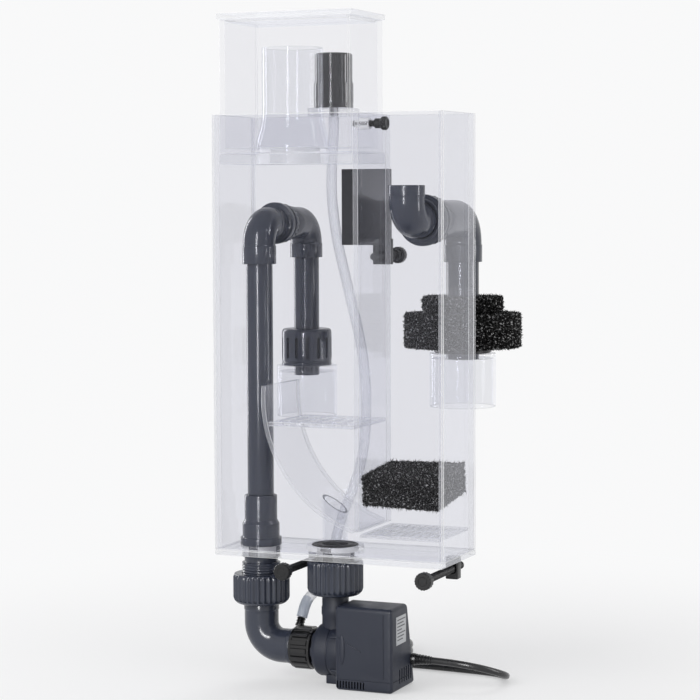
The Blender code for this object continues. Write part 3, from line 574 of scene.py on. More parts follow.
def evenly(dense, spacing):
    length = sum((b - a).length for a, b in zip(dense, dense[1:]))
    number = max(2, round(length / spacing))
    even, walked, target = [dense[0]], 0.0, length / number
    for a, b in zip(dense, dense[1:]):
        part = (b - a).length
        while part > 0 and walked + part >= target and len(even) < number:
            even.append(a.lerp(b, (target - walked) / part))
            target += length / number
        walked += part
    return even + [dense[-1]]


def round_cord(name, points, radius, nodes, material, sides=5):
    curve = bpy.data.curves.new(name, "CURVE")
    curve.dimensions = "3D"
    curve.bevel_depth = radius
    curve.bevel_resolution = sides
    curve.use_fill_caps = True
    spline = curve.splines.new("POLY")
    spline.points.add(len(points) - 1)
    for knot, point in zip(spline.points, points):
        knot.co = (*point, 1)
    spline.use_smooth = True
    return finish_piece(name, curve, nodes, [material])


CORD_R = 3.25
CORD_ROUTE = [
    (194.5, 62, -97.6), (212, 62, -98.2), (226, 62.5, -99.3), (241, 66.5, -102), (252, 77.5, -107),
    (256, 92.5, -112.5), (252, 107.5, -116.8), (241, 118.5, -118.1), (226, 122.5, -118.1), (200, 125, -118.1),
    (170, 127, -118.1), (140, 127.8, -118.1), (122, 127.8, -118.1),
]
COIL_X, COIL_Y = 82.0, 172.0
COIL_RADII = (44.2, 37.7, 31.2)
LOWER, UPPER = -118.1, -111.55
PLUG_Z = -116.8             # the height at which the lead goes into its plug
# Each turn: its radius, and the span of its progress in degrees over which it moves to the next radius or layer
COIL_TURNS = [
    (44.2, 37.7, LOWER, LOWER, 300, 360), (37.7, 31.2, LOWER, LOWER, 300, 360), (31.2, 31.2, LOWER, UPPER, 240, 300),
    (31.2, 37.7, UPPER, UPPER, 180, 240), (37.7, 44.2, UPPER, UPPER, 120, 180), (44.2, 44.2, UPPER, UPPER, 0, 90),
]


def ease(t):
    t = clamp(t)
    return t * t * (3 - 2 * t)


def coil_line():
    """The wound part of the lead, clockwise from where it comes in at the front of the coil."""
    points = []
    for number, (radius, after, height, raised, low_turn, high_turn) in enumerate(COIL_TURNS):
        whole = 90 if number == len(COIL_TURNS) - 1 else 360
        for step in range(0 if number == 0 else 3, whole + 1, 3):
            share = ease((step - low_turn) / (high_turn - low_turn))
            r, z = radius + (after - radius) * share, height + (raised - height) * share
            angle = radians(-90 - step)
            points.append(at(COIL_X + r * cos(angle), COIL_Y + r * sin(angle), z))
    return points


def make_mains_lead():
    tangent = at(COIL_X, COIL_Y - COIL_RADII[0], LOWER)
    route = through([at(*p) for p in CORD_ROUTE] + [tangent], 5 * MM)
    side = COIL_X - COIL_RADII[0]
    down = [at(side, COIL_Y + 2 * k, UPPER + (PLUG_Z - UPPER) * ease((k / 20 - 0.42) / 0.5)) for k in range(1, 21)]
    line = route[:-1] + coil_line() + down
    cord = round_cord("mains_lead", line, CORD_R * MM, ["power_cord", "cord_coil"], CORD_RUBBER)
    plug, tie = make_plug(side), make_tie()


def make_plug(x):
    """A generic two-pin plug with a ribbed strain relief and finger grips."""
    low = -121.2
    bm = bmesh.new()
    block(bm, (x - 13.5, 226, low), (x + 13.5, 248, low + 15), 3.2, 5)
    for side in (-1, 1):
        for k in range(5):
            y = 230.5 + 3.2 * k
            first, last = sorted((x + side * 13.5, x + side * 13.5 + side * 0.7))
            block(bm, (first - 0.2, y, low + 4), (last + 0.2, y + 1.4, low + 11), 0.25, 2)
    relief = [(0, 17.0), (4.5, 17.0)]
    for k in range(6):
        y = 15.2 - k * 2.4
        r = 4.5 - 0.7 * (k + 1) / 7
        relief += [(r, y + 0.7), (r - 0.7, y + 0.4), (r - 0.7, y - 0.5), (r, y - 0.8)]
    relief += [(3.8, 0.0), (3.3, -0.4), (0, -0.4)]
    lathe(bm, relief, (x, 211.5, PLUG_Z), "Y", 32, closed=False)
    for side in (-1, 1):
        pin = [(0, 31), (1.4, 31), (2.0, 30.2), (2.0, 10.0), (0, 10.0)]
        lathe(bm, pin, (x + side * 9.5, 234.5, low + 7.5), "Y", 24, index=1, closed=False)
    return mesh_piece("mains_plug_body", bm, ["mains_plug"], [BLACK, BRASS])


def make_tie():
    """A strap over the coil."""
    bm = bmesh.new()
    angle = radians(62)
    out, along = Vector((cos(angle), sin(angle), 0)), Vector((-sin(angle), cos(angle), 0))
    centre = at(COIL_X, COIL_Y, 0)
    inner, outer, foot, top = 27.2, 48.2, -121.1, -107.6
    path = [(inner, foot), (inner, top - 1.5), (inner + 0.5, top - 0.4), (inner + 1.6, top), (outer - 1.6, top),
            (outer - 0.5, top - 0.4), (outer, top - 1.5), (outer, foot)]
    thick = 0.7
    ring_a, ring_b = [], []
    for k, (r, z) in enumerate(path):
        before, after = Vector(path[max(k - 1, 0)]), Vector(path[min(k + 1, len(path) - 1)])
        way = (after - before).normalized()
        normal = Vector((-way.y, way.x))
        for store, shift in ((ring_a, 0.0), (ring_b, thick)):
            store.append(Vector((r, z)) + normal * shift)
    loops = []
    for side in (-1, 1):
        for store in (ring_a, ring_b):
            loops.append([bm.verts.new(centre + (out * p.x + along * side * 3.5) * MM + Vector((0, 0, p.y * MM)))
                          for p in store])
    a0, b0, a1, b1 = loops
    for k in range(len(path) - 1):
        for low_loop, high_loop in ((a0, a1), (b1, b0), (b0, a0), (a1, b1)):
            bm.faces.new([low_loop[k], low_loop[k + 1], high_loop[k + 1], high_loop[k]])
    for k in (0, len(path) - 1):
        bm.faces.new([a0[k], b0[k], b1[k], a1[k]])
    chamfer(bm, 0.2, 1, 60)
    return mesh_piece("cord_tie", bm, (), [BLACK])


HOSE_R = 5.0
HOSE_ROUTE = [
    (79.0, 104.0, 411.8), (79.0, 103.4, 396), (79.3, 98.5, 370), (80.0, 95.8, 341), (82.0, 95.8, 318),
    (86.3, 95.8, 291), (93.6, 95.8, 261), (99.5, 95.8, 237), (105.7, 95.8, 213), (110.8, 95.8, 189),
    (113.9, 95.8, 163), (114.8, 95.8, 141), (114.0, 95.8, 112), (110.5, 95.8, 86), (102.5, 95.8, 60),
    (92.5, 95.8, 36), (84.5, 96.3, 13), (80.0, 97.0, -7), (77.0, 92.5, -25), (71.5, 79.5, -39),
    (67.5, 63.0, -48.5),
]
BARB_END = Vector((65.5, 53.0, -64.0))
BARB_WAY = Vector((0.1, 0.4, 0.91)).normalized()


def make_air_hose():
    last = BARB_END + BARB_WAY * 7
    line = through([at(*p) for p in HOSE_ROUTE] + [at(*last)], 4 * MM) + [at(*BARB_END)]
    hose = round_cord("air_hose_tube", line, HOSE_R * MM, ["air_hose"], HOSE, 7)
    bm = bmesh.new()
    spots = frames_along(line)[-5:]
    sweep(bm, [(*spot, (HOSE_R + 0.25) * MM) for spot in spots]
          + [(*spot, (HOSE_R + 0.02) * MM) for spot in reversed(spots)], 36)
    sleeve = mesh_piece("hose_sleeve", bm, (), [SLEEVE], 40)


def milky(name, colour, through_share, rough):
    """Soft translucent tubing."""
    material, tree, shader = new_tree(name)
    tree.nodes.remove(shader)
    clear_part = add_node(tree, "BsdfTransparent", {"Color": (0.955, 0.96, 0.975, 1)})
    tint = two_tone(tree, spread(tree, noise_node(tree, 60, 3), 0, 1), tuple(c * 0.93 for c in colour), colour)
    solid = add_node(tree, "BsdfPrincipled", {"Roughness": rough}, {"Base Color": tint})
    glow = add_node(tree, "BsdfTranslucent", {}, {"Color": tint})
    wall = add_node(tree, "MixShader", {}, {1: solid.outputs[0], 2: glow.outputs[0]})
    slant = add_node(tree, "LayerWeight", {"Blend": 0.35}).outputs["Facing"]
    share = add_node(tree, "MapRange", {"To Min": 1 - through_share, "To Max": 1.0}, {"Value": slant})
    mix = blend(tree, share.outputs["Result"], clear_part, wall)
    tree.links.new(mix.outputs[0], tree.nodes["Material Output"].inputs["Surface"])
    return material


CORD_RUBBER = moulded("cord_rubber", (0.016, 0.016, 0.018), 0.27, grain=0.00004, grain_scale=1500)
HOSE = milky("clear_hose", (0.97, 0.973, 0.98), 0.80, 0.50)
SLEEVE = milky("hose_sleeve", (0.80, 0.84, 0.90), 0.55, 0.15)

make_mains_lead()
make_air_hose()


# ---------------------------------------------------------------- the acrylic box

def make_sheets():
    for node, across in (("front_panel", "Y"), ("back_panel", "Y"), ("side_panel_left", "X"), ("side_panel_right", "X"),
                         ("bottom_panel", "Z"), ("partition_wall", "X"), ("chamber_top_plate", "Z"),
                         ("bubble_plate", "Z"), ("media_grate", "Z"), ("silencer_shelf", "Z"), ("cup_lid", "Z")):
        sheet_piece(node, across)


def make_cup_box():
    """The foam cup: five clear sheets, with hazy rims and corners painted near white as a painted highlight."""
    bm = cad_copy("cup_box")
    chamfer(bm, 0.4)
    bm.normal_update()
    top = high("cup_box").z
    for face in bm.faces:
        lean = max(abs(c) for c in face.normal)
        centre = in_mm(face.calc_center_median())
        rim = face.normal.z > 0.9 and centre.z > top - 1
        face.material_index = 2 if lean < 0.97 else 1 if rim else 0
    mesh_piece("cup_box_sheets", bm, ["cup_box"], [CUP_FACE, EDGE, ARRIS], 20)


def make_baffle():
    """The curved ramp under the foam column."""
    centre = Vector((174.2, 149.3))
    lo, hi = low("curved_baffle"), high("curved_baffle")
    angles = []
    for v in NODES["curved_baffle"].data.vertices:
        p = in_mm(v.co)
        angles.append(atan2(p.z - centre.y, p.x - centre.x) % (2 * pi))
    first, last = min(angles), max(angles)
    near = [(in_mm(v.co).xz - centre).length for v in NODES["curved_baffle"].data.vertices]
    inner, outer = min(near), max(near)
    bm = bmesh.new()
    steps, cut = 56, 0.35
    section = [(inner, lo.y + cut), (inner + cut, lo.y), (outer - cut, lo.y), (outer, lo.y + cut),
               (outer, hi.y - cut), (outer - cut, hi.y), (inner + cut, hi.y), (inner, hi.y - cut)]
    rings = []
    for k in range(steps + 1):
        angle = first + (last - first) * k / steps
        rings.append([bm.verts.new(at(centre.x + r * cos(angle), y, centre.y + r * sin(angle))) for r, y in section])
    for a, b in zip(rings, rings[1:]):
        for i in range(8):
            j = (i + 1) % 8
            bm.faces.new([a[i], a[j], b[j], b[i]]).material_index = 0 if i in (3, 7) else 1 if i in (1, 5) else 2
    for ring in (rings[0], rings[-1]):
        bm.faces.new(ring).material_index = 1
    mesh_piece("curved_baffle_sheet", bm, ["curved_baffle"], [BAFFLE_FACE, EDGE, ARRIS], 25)


def wall_profile(outer, wall):
    """A closed tube wall from its outside profile, given from the bottom up as (radius, height)."""
    return list(outer) + [(r - wall, z) for r, z in reversed(outer)]


def make_neck():
    outer = [(35.3, 381.1), (35.3, 384.6), (34.2, 388.5), (32.4, 394.5), (31.0, 400.0), (29.9, 405.0), (29.1, 410.1),
             (28.8, 416), (28.7, 422), (28.7, 474.5)]
    bm = bmesh.new()
    lathe(bm, soften(wall_profile(outer, 2.5), 0.4), (62.6, 45, 0), "Z", 120)
    for face in bm.faces:
        centre = in_mm(face.calc_center_median())
        face.material_index = 1 if centre.z > 474.2 or centre.z < 381.4 else 0
    mesh_piece("cup_neck_tube", bm, ["cup_neck"], [TUBE, EDGE])


def clear_cup(node, profile, centre, rims):
    """A clear lathed guard; faces within rims, a list of (low, high) heights, get the edge's look."""
    bm = bmesh.new()
    lathe(bm, soften(profile, 0.35), centre, "Z", 112)
    for face in bm.faces:
        height = in_mm(face.calc_center_median()).z
        face.material_index = 1 if any(a <= height <= b for a, b in rims) else 0
    mesh_piece(node + "_cup", bm, [node], [TUBE, EDGE])


def make_guards():
    bore = 12.8
    clear_cup("intake_guard",
              [(bore, 169.0), (29.8, 169.0), (29.8, 118.7), (27.8, 118.7), (27.8, 163.0), (bore, 163.0)],
              INTAKE_LINE, [(118.6, 119.1), (168.6, 169.1), (162.6, 163.1)])
    foot, top, bore = low("drain_guard").z, high("drain_guard").z, 16.3
    clear_cup("drain_guard",
              [(bore, top), (32.5, top), (32.5, foot), (30.0, foot), (30.0, top - 5.0), (bore, top - 5.0)],
              DRAIN_LINE, [(foot - 0.1, foot + 0.5), (top - 0.5, top + 0.1), (top - 5.4, top - 4.9)])


def make_outlet_tube():
    """A clear riser with its top cut to the baffle's slope."""
    lo, hi = low("outlet_tube"), high("outlet_tube")
    bm = bmesh.new()
    lathe(bm, [(11.8, lo.z), (11.8, hi.z + 6), (9.8, hi.z + 6), (9.8, lo.z)], OUTLET_LINE, "Z", 96)
    tops = [in_mm(v.co) for v in NODES["outlet_tube"].data.vertices]
    tops = [p for p in tops if p.z > lo.z + 5]
    left = min(tops, key=lambda p: p.x)
    right = max(tops, key=lambda p: p.x)
    slope = Vector((right.x - left.x, 0, right.z - left.z)).normalized()
    normal = Vector((-slope.z, 0, slope.x))
    cut = bmesh.ops.bisect_plane(bm, geom=list(bm.verts) + list(bm.edges) + list(bm.faces), plane_co=at(*left),
                                 plane_no=normal, clear_outer=True)
    edges = [g for g in cut["geom_cut"] if isinstance(g, bmesh.types.BMEdge)]
    bmesh.ops.bridge_loops(bm, edges=edges)
    bm.normal_update()
    for face in bm.faces:
        face.material_index = 1 if abs(face.normal.z) > 0.3 else 0
    mesh_piece("outlet_tube_clear", bm, ["outlet_tube"], [TUBE, RIM])


# ---------------------------------------------------------------- PVC lines

def pipe(node, radius, wall, centre, foot=None):
    lo, hi = foot or low(node).z, high(node).z
    turned(node + "_tube", node, [(radius, lo), (radius, hi), (radius - wall, hi), (radius - wall, lo)], centre,
           PVC, 0.4)


def make_pipes():
    pipe("riser_pipe", 12.5, 2.2, RISER_LINE)
    pipe("intake_pipe", 12.5, 2.2, INTAKE_LINE)
    pipe("drain_pipe", 16.0, 2.4, DRAIN_LINE, foot=high("drain_guard").z - 6)
    elbow("riser_elbow", (27, 45, 272.4), (27, 45, 310.5), (27, 72.7, 310.5), 19, 15.4, 12.6,
          [(17.0, 16.0, 13.1), (8.0, 16.0, 12.9)])
    elbow("intake_elbow", (27, 98.8, 310.5), (27, 154, 310.5), (27, 154, 276), 20, 15.4, 12.6,
          [(19.0, 16.0, 12.9), (14.0, 16.0, 13.1)])
    elbow("weir_elbow", (179, 40, 346), (179, 40, 313.5), (179, 89, 313.5), 19.5, 16.4, 14.6,
          [(10.0, 16.8, 14.8), (3.0, 16.4, 14.6)])
    elbow("drain_elbow", (179, 98.8, 313.5), (179, 189, 313.5), (179, 189, 271.5), 23, 18.6, 16.3,
          [(24.0, 19.2, 16.6), (17.0, 19.2, 16.6)])
    elbow("pump_inlet_elbow", (27, 45, -50.3), (27, 45, PUMP_Z), (62.3, 45, PUMP_Z), 22, 16.3, 13.8,
          [(7.0, 16.8, 13.8), (4.0, 16.8, 13.8)])


def make_bulkheads():
    """Flanged fittings through the back panel, with stepped faces and ribbed ring nuts."""
    for name, node, centre, bore, body_r, flange, y0, y1 in (
            ("intake_bulkhead_fitting", "intake_bulkhead", (27, 0, 310.5), 12.8, 16.0, 20.0, 73.0, 98.5),
            ("drain_bulkhead_fitting", "drain_bulkhead", (179, 0, 313.5), 17.1, 20.5, 24.2, 73.5, 98.5)):
        profile = [(bore, y0), (body_r - 1.0, y0), (body_r, y0 + 1.0), (body_r, 78.6), (body_r + 1.4, 78.6),
                   (body_r + 1.4, 79.0), (flange, 79.0), (flange, 84.7), (body_r, 84.7)]
        y = 90.6
        while y < y1 - 1.0:
            profile += [(body_r, y), (body_r - 0.45, y + 0.45), (body_r - 0.45, y + 0.75), (body_r, y + 1.2)]
            y += 1.6
        profile += [(body_r, y1 - 0.2), (body_r - 0.3, y1), (bore, y1)]
        turned(name, node, profile, centre, PVC, 0.25, "Y")
    for name, node, centre, inner, outer, y0, y1 in (
            ("intake_ring_nut_ribbed", "intake_ring_nut", (27, 0, 310.5), 16.3, 19.0, 90.3, 97.5),
            ("drain_ring_nut_ribbed", "drain_ring_nut", (179, 0, 313.5), 20.8, 23.5, 90.3, 98.0)):
        profile = [(inner, y0), (outer - 0.3, y0), (outer - 0.3, y0 + 1.2), (outer, y0 + 1.5), (outer, y1 - 0.8),
                   (outer - 0.8, y1), (inner, y1)]
        ribbed(name, node, profile, 24, 0.9, (outer - 0.6, y0 + 1.3, y1), centre, "Y", 0.3)


def union_nut(node, centre, outer, inner, lo, hi):
    """A big hand-tight nut: plain rounded shoulders at top and bottom and ribs between them."""
    profile = [(inner, hi), (outer - 2.6, hi), (outer - 1.2, hi - 0.4), (outer - 0.5, hi - 2.2), (outer, hi - 3.6)]
    profile += [(outer, hi - 3.6 - (hi - lo - 9.0) * k / 6) for k in range(1, 6)]
    profile += [(outer, lo + 5.4), (outer - 0.8, lo + 3.2), (outer - 2.6, lo + 1.0), (outer - 4.2, lo), (inner, lo)]
    ribbed(node + "_ribbed", node, profile, 30, 1.5, (outer - 1.0, lo + 2.5, hi - 1.6), centre, "Z", 0.35)


def union_thread(radius, z, end):
    """Ring grooves down a union's thread."""
    profile = []
    while z > end:
        profile += [(radius, z), (radius - 0.6, z - 0.7), (radius - 0.6, z - 1.1), (radius, z - 1.8)]
        z -= 2.6
    return profile


def make_floor_adapter():
    """The stepped fitting that takes the riser through the box's floor, down to the union."""
    profile = [(12.8, 52.8), (14.9, 52.8), (15.5, 52.2), (15.5, 29.4), (15.8, 28.6), (17.3, 26.2), (17.7, 25.4),
               (17.7, 13.2), (18.0, 12.8), (18.4, 12.4), (19.6, 12.4), (19.6, 5.3), (18.2, 5.3), (18.2, -6.0),
               (16.0, -6.4), (16.0, -11.2), (18.3, -11.6)]
    profile += union_thread(18.3, -13.0, -48.0) + [(18.3, -50.0), (12.8, -50.0)]
    profile.reverse()
    turned("floor_adapter_fitting", "floor_adapter", profile, RISER_LINE, PVC, 0.3)


def subtract(bm, cutters):
    """Cuts closed bmeshes out of bm with an exact Boolean, and gives the result as a new bmesh."""
    def temporary(source):
        mesh = bpy.data.meshes.new("cut")
        bmesh.ops.recalc_face_normals(source, faces=source.faces)
        source.to_mesh(mesh)
        source.free()
        obj = bpy.data.objects.new("cut", mesh)
        bpy.context.scene.collection.objects.link(obj)
        return obj
    base = temporary(bm)
    tools = [temporary(cutter) for cutter, _ in cutters]
    for tool, (_, operation) in zip(tools, cutters):
        made = base.modifiers.new("cut", "BOOLEAN")
        made.object, made.operation, made.solver = tool, operation, "EXACT"
        made.use_self = True
    graph = bpy.context.evaluated_depsgraph_get()
    out = bmesh.new()
    out.from_mesh(base.evaluated_get(graph).to_mesh())
    for obj in [base] + tools:
        mesh = obj.data
        bpy.data.objects.remove(obj)
        bpy.data.meshes.remove(mesh)
    bmesh.ops.remove_doubles(out, verts=out.verts, dist=0.000002)
    return out


def make_strainer():
    bm = bmesh.new()
    top, foot, outer, bore = 205.5, 169.3, 24.7, 12.8
    outline = [(bore, top), (outer - 3.4, top), (outer - 1.2, top - 0.7), (outer - 0.2, top - 2.6), (outer, top - 4.5),
               (outer, foot + 4.2), (outer - 0.6, foot + 3.8), (outer - 0.6, foot + 2.8), (outer, foot + 2.4),
               (outer, foot), (outer - 3, foot), (outer - 3, top - 5), (bore, top - 5)]
    lathe(bm, soften(outline, 0.4), INTAKE_LINE, "Z", 120)
    slots = bmesh.new()
    for i in range(14):
        block(slots, (27 + outer - 6, 154 - 1.7, foot + 7), (27 + outer + 5, 154 + 1.7, foot + 28), 1.5, 4,
              about(INTAKE_LINE, 2 * pi * (i + 0.5) / 14, "Z"))
    mesh_piece("strainer_nut_slotted", subtract(bm, [(slots, "DIFFERENCE")]), ["strainer_nut"],
               [PVC])


def make_outlet_fitting():
    """The black bulkhead round the outlet tube, and both union nuts."""
    profile = [(12.1, 10.0), (17.0, 10.0), (17.6, 9.4), (18.6, 9.4), (19.2, 10.0), (21.4, 10.0), (22.0, 9.4),
               (22.0, 5.3), (18.0, 5.3), (18.0, -6.0)]
    profile += union_thread(18.0, -7.5, -36.0)
    profile += [(18.0, -37.6), (17.6, -38.0), (12.0, -38.0), (12.0, -0.2), (12.1, -0.2)]
    profile.reverse()
    turned("outlet_bulkhead_fitting", "outlet_bulkhead", profile, OUTLET_LINE, FLANGE, 0.3)
    union_nut("inlet_union_nut", RISER_LINE, 27.0, 18.6, -50.8, -22.2)
    union_nut("outlet_union_nut", OUTLET_LINE, 26.4, 18.3, -37.6, -4.5)


make_sheets()
make_cup_box()
make_baffle()
make_neck()
make_guards()
make_outlet_tube()
make_pipes()
make_bulkheads()
make_floor_adapter()
make_strainer()
make_outlet_fitting()


# ---------------------------------------------------------------- pump

def make_venturi():
    """The black intake ring with its grip ribs and the barb that the air hose is pushed on."""
    profile = [(13.0, 0), (18.6, 0), (19.6, 0.8), (19.6, 2.6), (20.5, 3.2), (20.5, 8.0), (20.5, 13.0), (20.5, 18.6),
               (19.6, 19.2), (19.6, 21.4), (18.8, 22.1), (13.0, 22.1)]

    def grip(angle, k):
        return -1.5 * (cos(angle * 16) < -0.1) if profile[k][0] > 20 else 0.0

    bm = bmesh.new()
    lathe(bm, profile, (62.6, 45, PUMP_Z), "X", 192, wave=grip)
    barb = bmesh.new()
    first = BARB_WAY.orthogonal().normalized()
    outline = [(0, 8.9), (3.0, 8.9), (3.9, 8.2), (4.4, 6.9), (3.4, 6.6), (4.4, 4.4), (3.4, 4.1), (4.4, 1.8), (4.4, 0),
               (0, 0)]
    lathe(barb, outline, BARB_END - BARB_WAY * 9.2, (first, BARB_WAY.cross(first), BARB_WAY), 40, closed=False)
    mesh_piece("venturi_ring_ribbed", subtract(bm, [(barb, "UNION")]), ["venturi_ring"],
               [BLACK_GLOSS])


def make_volute():
    """Round pump chamber with a notched collar on the inlet side, the outlet neck and a foot."""
    end = 31.6
    profile = [(6.0, end - 3.0), (6.0, end), (24.0, end), (25.0, end - 1.0), (25.0, 20.0), (24.4, 19.6), (24.4, 18.6),
               (25.0, 18.2), (25.0, 7.0), (23.8, 4.6), (22.6, 3.5), (19.0, 3.5), (19.0, 0.3), (12.5, 0.3),
               (12.5, 6.5), (21.5, 6.5), (21.5, end - 3.0)]
    profile.reverse()
    bm = bmesh.new()
    lathe(bm, soften(profile, 0.4), (85.3, 45, PUMP_Z), "X", 112)
    neck = bmesh.new()
    lathe(neck, [(12.6, -71.5), (12.6, -58), (13.2, -56.5), (13.2, -50), (12.6, -48.5), (12.6, -38.5), (9.5, -38.5),
                 (9.5, -71.5)], OUTLET_LINE, "Z", 80)
    foot = bmesh.new()
    block(foot, (99, 33, -121.4), (112, 57, -112.5), 1.0, 3)
    block(foot, (101.5, 36, -114.5), (109.5, 54, -109.0), 0.8, 2)
    notches = bmesh.new()
    for k in range(8):
        block(notches, (84.6, 41.6, PUMP_Z + 17.2), (87.6, 48.4, PUMP_Z + 22), 0.8, 3,
              about((0, 45, PUMP_Z), 2 * pi * (k + 0.5) / 8, "X"))
    ears = bmesh.new()
    for k in range(4):
        block(ears, (106.5, 40.8, PUMP_Z + 21), (116.4, 49.2, PUMP_Z + 26.4), 1.2, 3,
              about((0, 45, PUMP_Z), pi / 4 + pi / 2 * k, "X"))
    made = subtract(bm, [(neck, "UNION"), (foot, "UNION"), (ears, "UNION"), (notches, "DIFFERENCE")])
    mesh_piece("volute_cover_moulded", made, ["volute_cover"], [PUMP])


def make_housing():
    """The potted motor block: vents, a groove round its foot, and a crease and an oval boss on its front."""
    lo, hi, back = Vector((117.2, 12, -121.4)), Vector((174.5, 70, -43)), 51.0
    bm = bmesh.new()
    block(bm, lo, hi, 3.6, 6)
    for v in bm.verts:
        p = in_mm(v.co)
        share, depth = clamp((p.z - lo.z) / (hi.z - lo.z)), clamp((p.y - 30) / (hi.y - 30))
        v.co.y -= (hi.y - back) * share * depth * MM
    cuts = bmesh.new()
    for k in range(10):
        x = 119.2 + 2.9 * k
        block(cuts, (x, 8, -119.2), (x + 1.5, 15.2, -112.4), 0.3, 2)
    for k in range(6):
        y = 30 + 5.6 * k
        block(cuts, (171.0, y, -115.0), (178, y + 2.4, -101.5), 0.5, 2)
    block(cuts, (112, 8, -111.2), (180, 12.5, -110.3), 0.15, 1)
    block(cuts, (174.0, 8, -111.2), (180, 74, -110.3), 0.15, 1)
    block(cuts, (165.6, 8, -108.0), (166.4, 12.4, -48.0), 0.15, 1)
    bore = bmesh.new()
    lathe(bore, [(0, -2), (10.5, -2), (10.5, 40.0), (0, 40.0)], (117.2, 45, PUMP_Z), "X", 48, closed=False)
    boss = bmesh.new()
    made = bmesh.ops.create_uvsphere(boss, u_segments=48, v_segments=24, radius=1.0)["verts"]
    for v in made:
        v.co = at(124.2 + v.co.x * 3.1, 12.0 + v.co.y * 1.3, -83.5 + v.co.z * 14.0)
    made = subtract(bm, [(bore, "DIFFERENCE"), (boss, "UNION"), (cuts, "DIFFERENCE")])
    mesh_piece("motor_housing_moulded", made, ["motor_housing"], [PUMP])
    ridge = bmesh.new()
    block(ridge, (117.5, 11.4, -78.5), (145, 12.6, -77.5), 0.4, 2, about((131, 12, -78), radians(27), "Y"))
    mesh_piece("housing_rib", ridge, (), [PUMP])


def make_label():
    """A plain plate with grey bars on the pump's side: no lettering."""
    plate = bmesh.new()
    block(plate, (174.2, 22.5, -78.0), (174.9, 46.5, -51.5), 0.3, 2)
    mesh_piece("rating_plate", plate, (), [LABEL])
    bars = bmesh.new()
    for k, last in enumerate((44.5, 40, 43, 36, 44, 41, 38)):
        z = -54.2 - 3.1 * k
        block(bars, (174.6, 24.5, z - 1.1), (175.05, last, z), 0.12, 1)
    mesh_piece("rating_plate_bars", bars, (), [LABEL_BAR])


def make_boot():
    """Tapered, ribbed strain relief on the mains lead, in a gland."""
    outline = [(0, 0.3), (5.6, 0.3), (5.6, 3.0)]
    for k in range(5):
        x = 4.2 + 3.0 * k
        r = 5.2 - 1.3 * k / 5
        outline += [(r, x), (r, x + 1.3), (r - 0.8, x + 1.6), (r - 0.85, x + 2.6)]
    outline += [(3.8, 19.2), (3.6, 19.7), (0, 19.7)]
    bm = bmesh.new()
    lathe(bm, outline, (174.5, 62, -97.6), "X", 48, closed=False)
    mesh_piece("cord_boot_ribbed", bm, ["cord_boot"], [CORD_RUBBER])


# ---------------------------------------------------------------- black fittings

def thread(screw, radius, centre, axis, low_end, high_end):
    """A screw with a real 2 mm helical thread; the ends are plain."""
    pitch, rows_per_turn, steps = 2.0, 6, 36
    rows = max(2, int((high_end - low_end - 1.6) / pitch * rows_per_turn))
    profile = [(0, low_end), (radius - 0.9, low_end), (radius - 0.5, low_end + 0.5)]
    first = len(profile)
    for k in range(rows + 1):
        profile.append((radius, low_end + 0.8 + (high_end - low_end - 1.6) * k / rows))
    profile += [(radius - 0.5, high_end - 0.5), (radius - 0.9, high_end), (0, high_end)]

    def wave(angle, k):
        if not first <= k <= first + rows:
            return 0.0
        phase = (profile[k][1] / pitch - angle / (2 * pi)) % 1.0
        return -0.75 * (1 - abs(2 * phase - 1)) ** 1.3

    bm = bmesh.new()
    lathe(bm, profile, centre, axis, steps, wave=wave, closed=False)
    mesh_piece(screw + "_thread", bm, [screw + "_shaft"], [BLACK], 50)


def knob(screw, centre, axis, face, side, radius, depth, hub):
    """A fluted thumb knob; face is where its outer end is and side the way that end looks along the axis."""
    profile = [(0, 0.6), (radius * 0.45, 0.6), (radius * 0.55, 0.0), (radius - 1.0, 0.0), (radius, 1.0)]
    rim = depth - (6.0 if depth > 10 else 1.2)
    profile += [(radius, 1.0 + (rim - 2.0) * k / 4) for k in range(1, 4)]
    profile += [(radius, rim - 1.0), (radius - 1.0, rim), (hub, rim + 0.8), (hub, depth), (0, depth)]
    profile = [(r, face - side * d) for r, d in profile]

    def wave(angle, k):
        return -0.55 * (1 - abs(cos(angle * 9))) if profile[k][0] > radius - 0.5 else 0.0

    bm = bmesh.new()
    lathe(bm, profile, centre, axis, 120, wave=wave, closed=False)
    mesh_piece(screw + "_head", bm, [screw + "_knob"], [BLACK], 35)


def make_screws():
    for screw, x in (("level_screw_left", 70.0), ("level_screw_right", 210.5)):
        thread(screw, 3.8, (x, 0, -11.7), "Y", 11.3, 97.0)
        knob(screw, (x, 0, -11.7), "Y", -3.5, -1, 8.2, 14.5, 5.6)
    thread("clamp_screw", 3.8, (117, 0, 278.2), "Y", 110.3, 163.7)
    knob("clamp_screw", (117, 0, 278.2), "Y", 178.5, 1, 8.2, 14.5, 5.6)
    thread("cup_lock", 3.04, (0, 12.5, 401.8), "X", 137.9, 159.5)
    lo, hi = low("cup_lock_knob").x, high("cup_lock_knob").x
    knob("cup_lock", (0, 12.5, 401.8), "X", hi, 1, 6.2, hi - lo, 4.5)


def make_black_fittings():
    for node, amount in (("rim_bracket", 1.1), ("level_lug_left", 0.9), ("level_lug_right", 0.9)):
        bm = cad_copy(node)
        chamfer(bm, amount, 3, 55)
        mesh_piece(node + "_moulded", bm, [node], [BLACK])
    lo, hi = low("foam_ring").z, high("foam_ring").z
    turned("foam_ring_moulded", "foam_ring",
           [(16.3, lo), (27.0, lo), (28.0, lo + 1.0), (28.0, hi - 1.0), (27.0, hi), (16.3, hi)],
           DRAIN_LINE, BLACK, 0.3)


# ---------------------------------------------------------------- air silencer

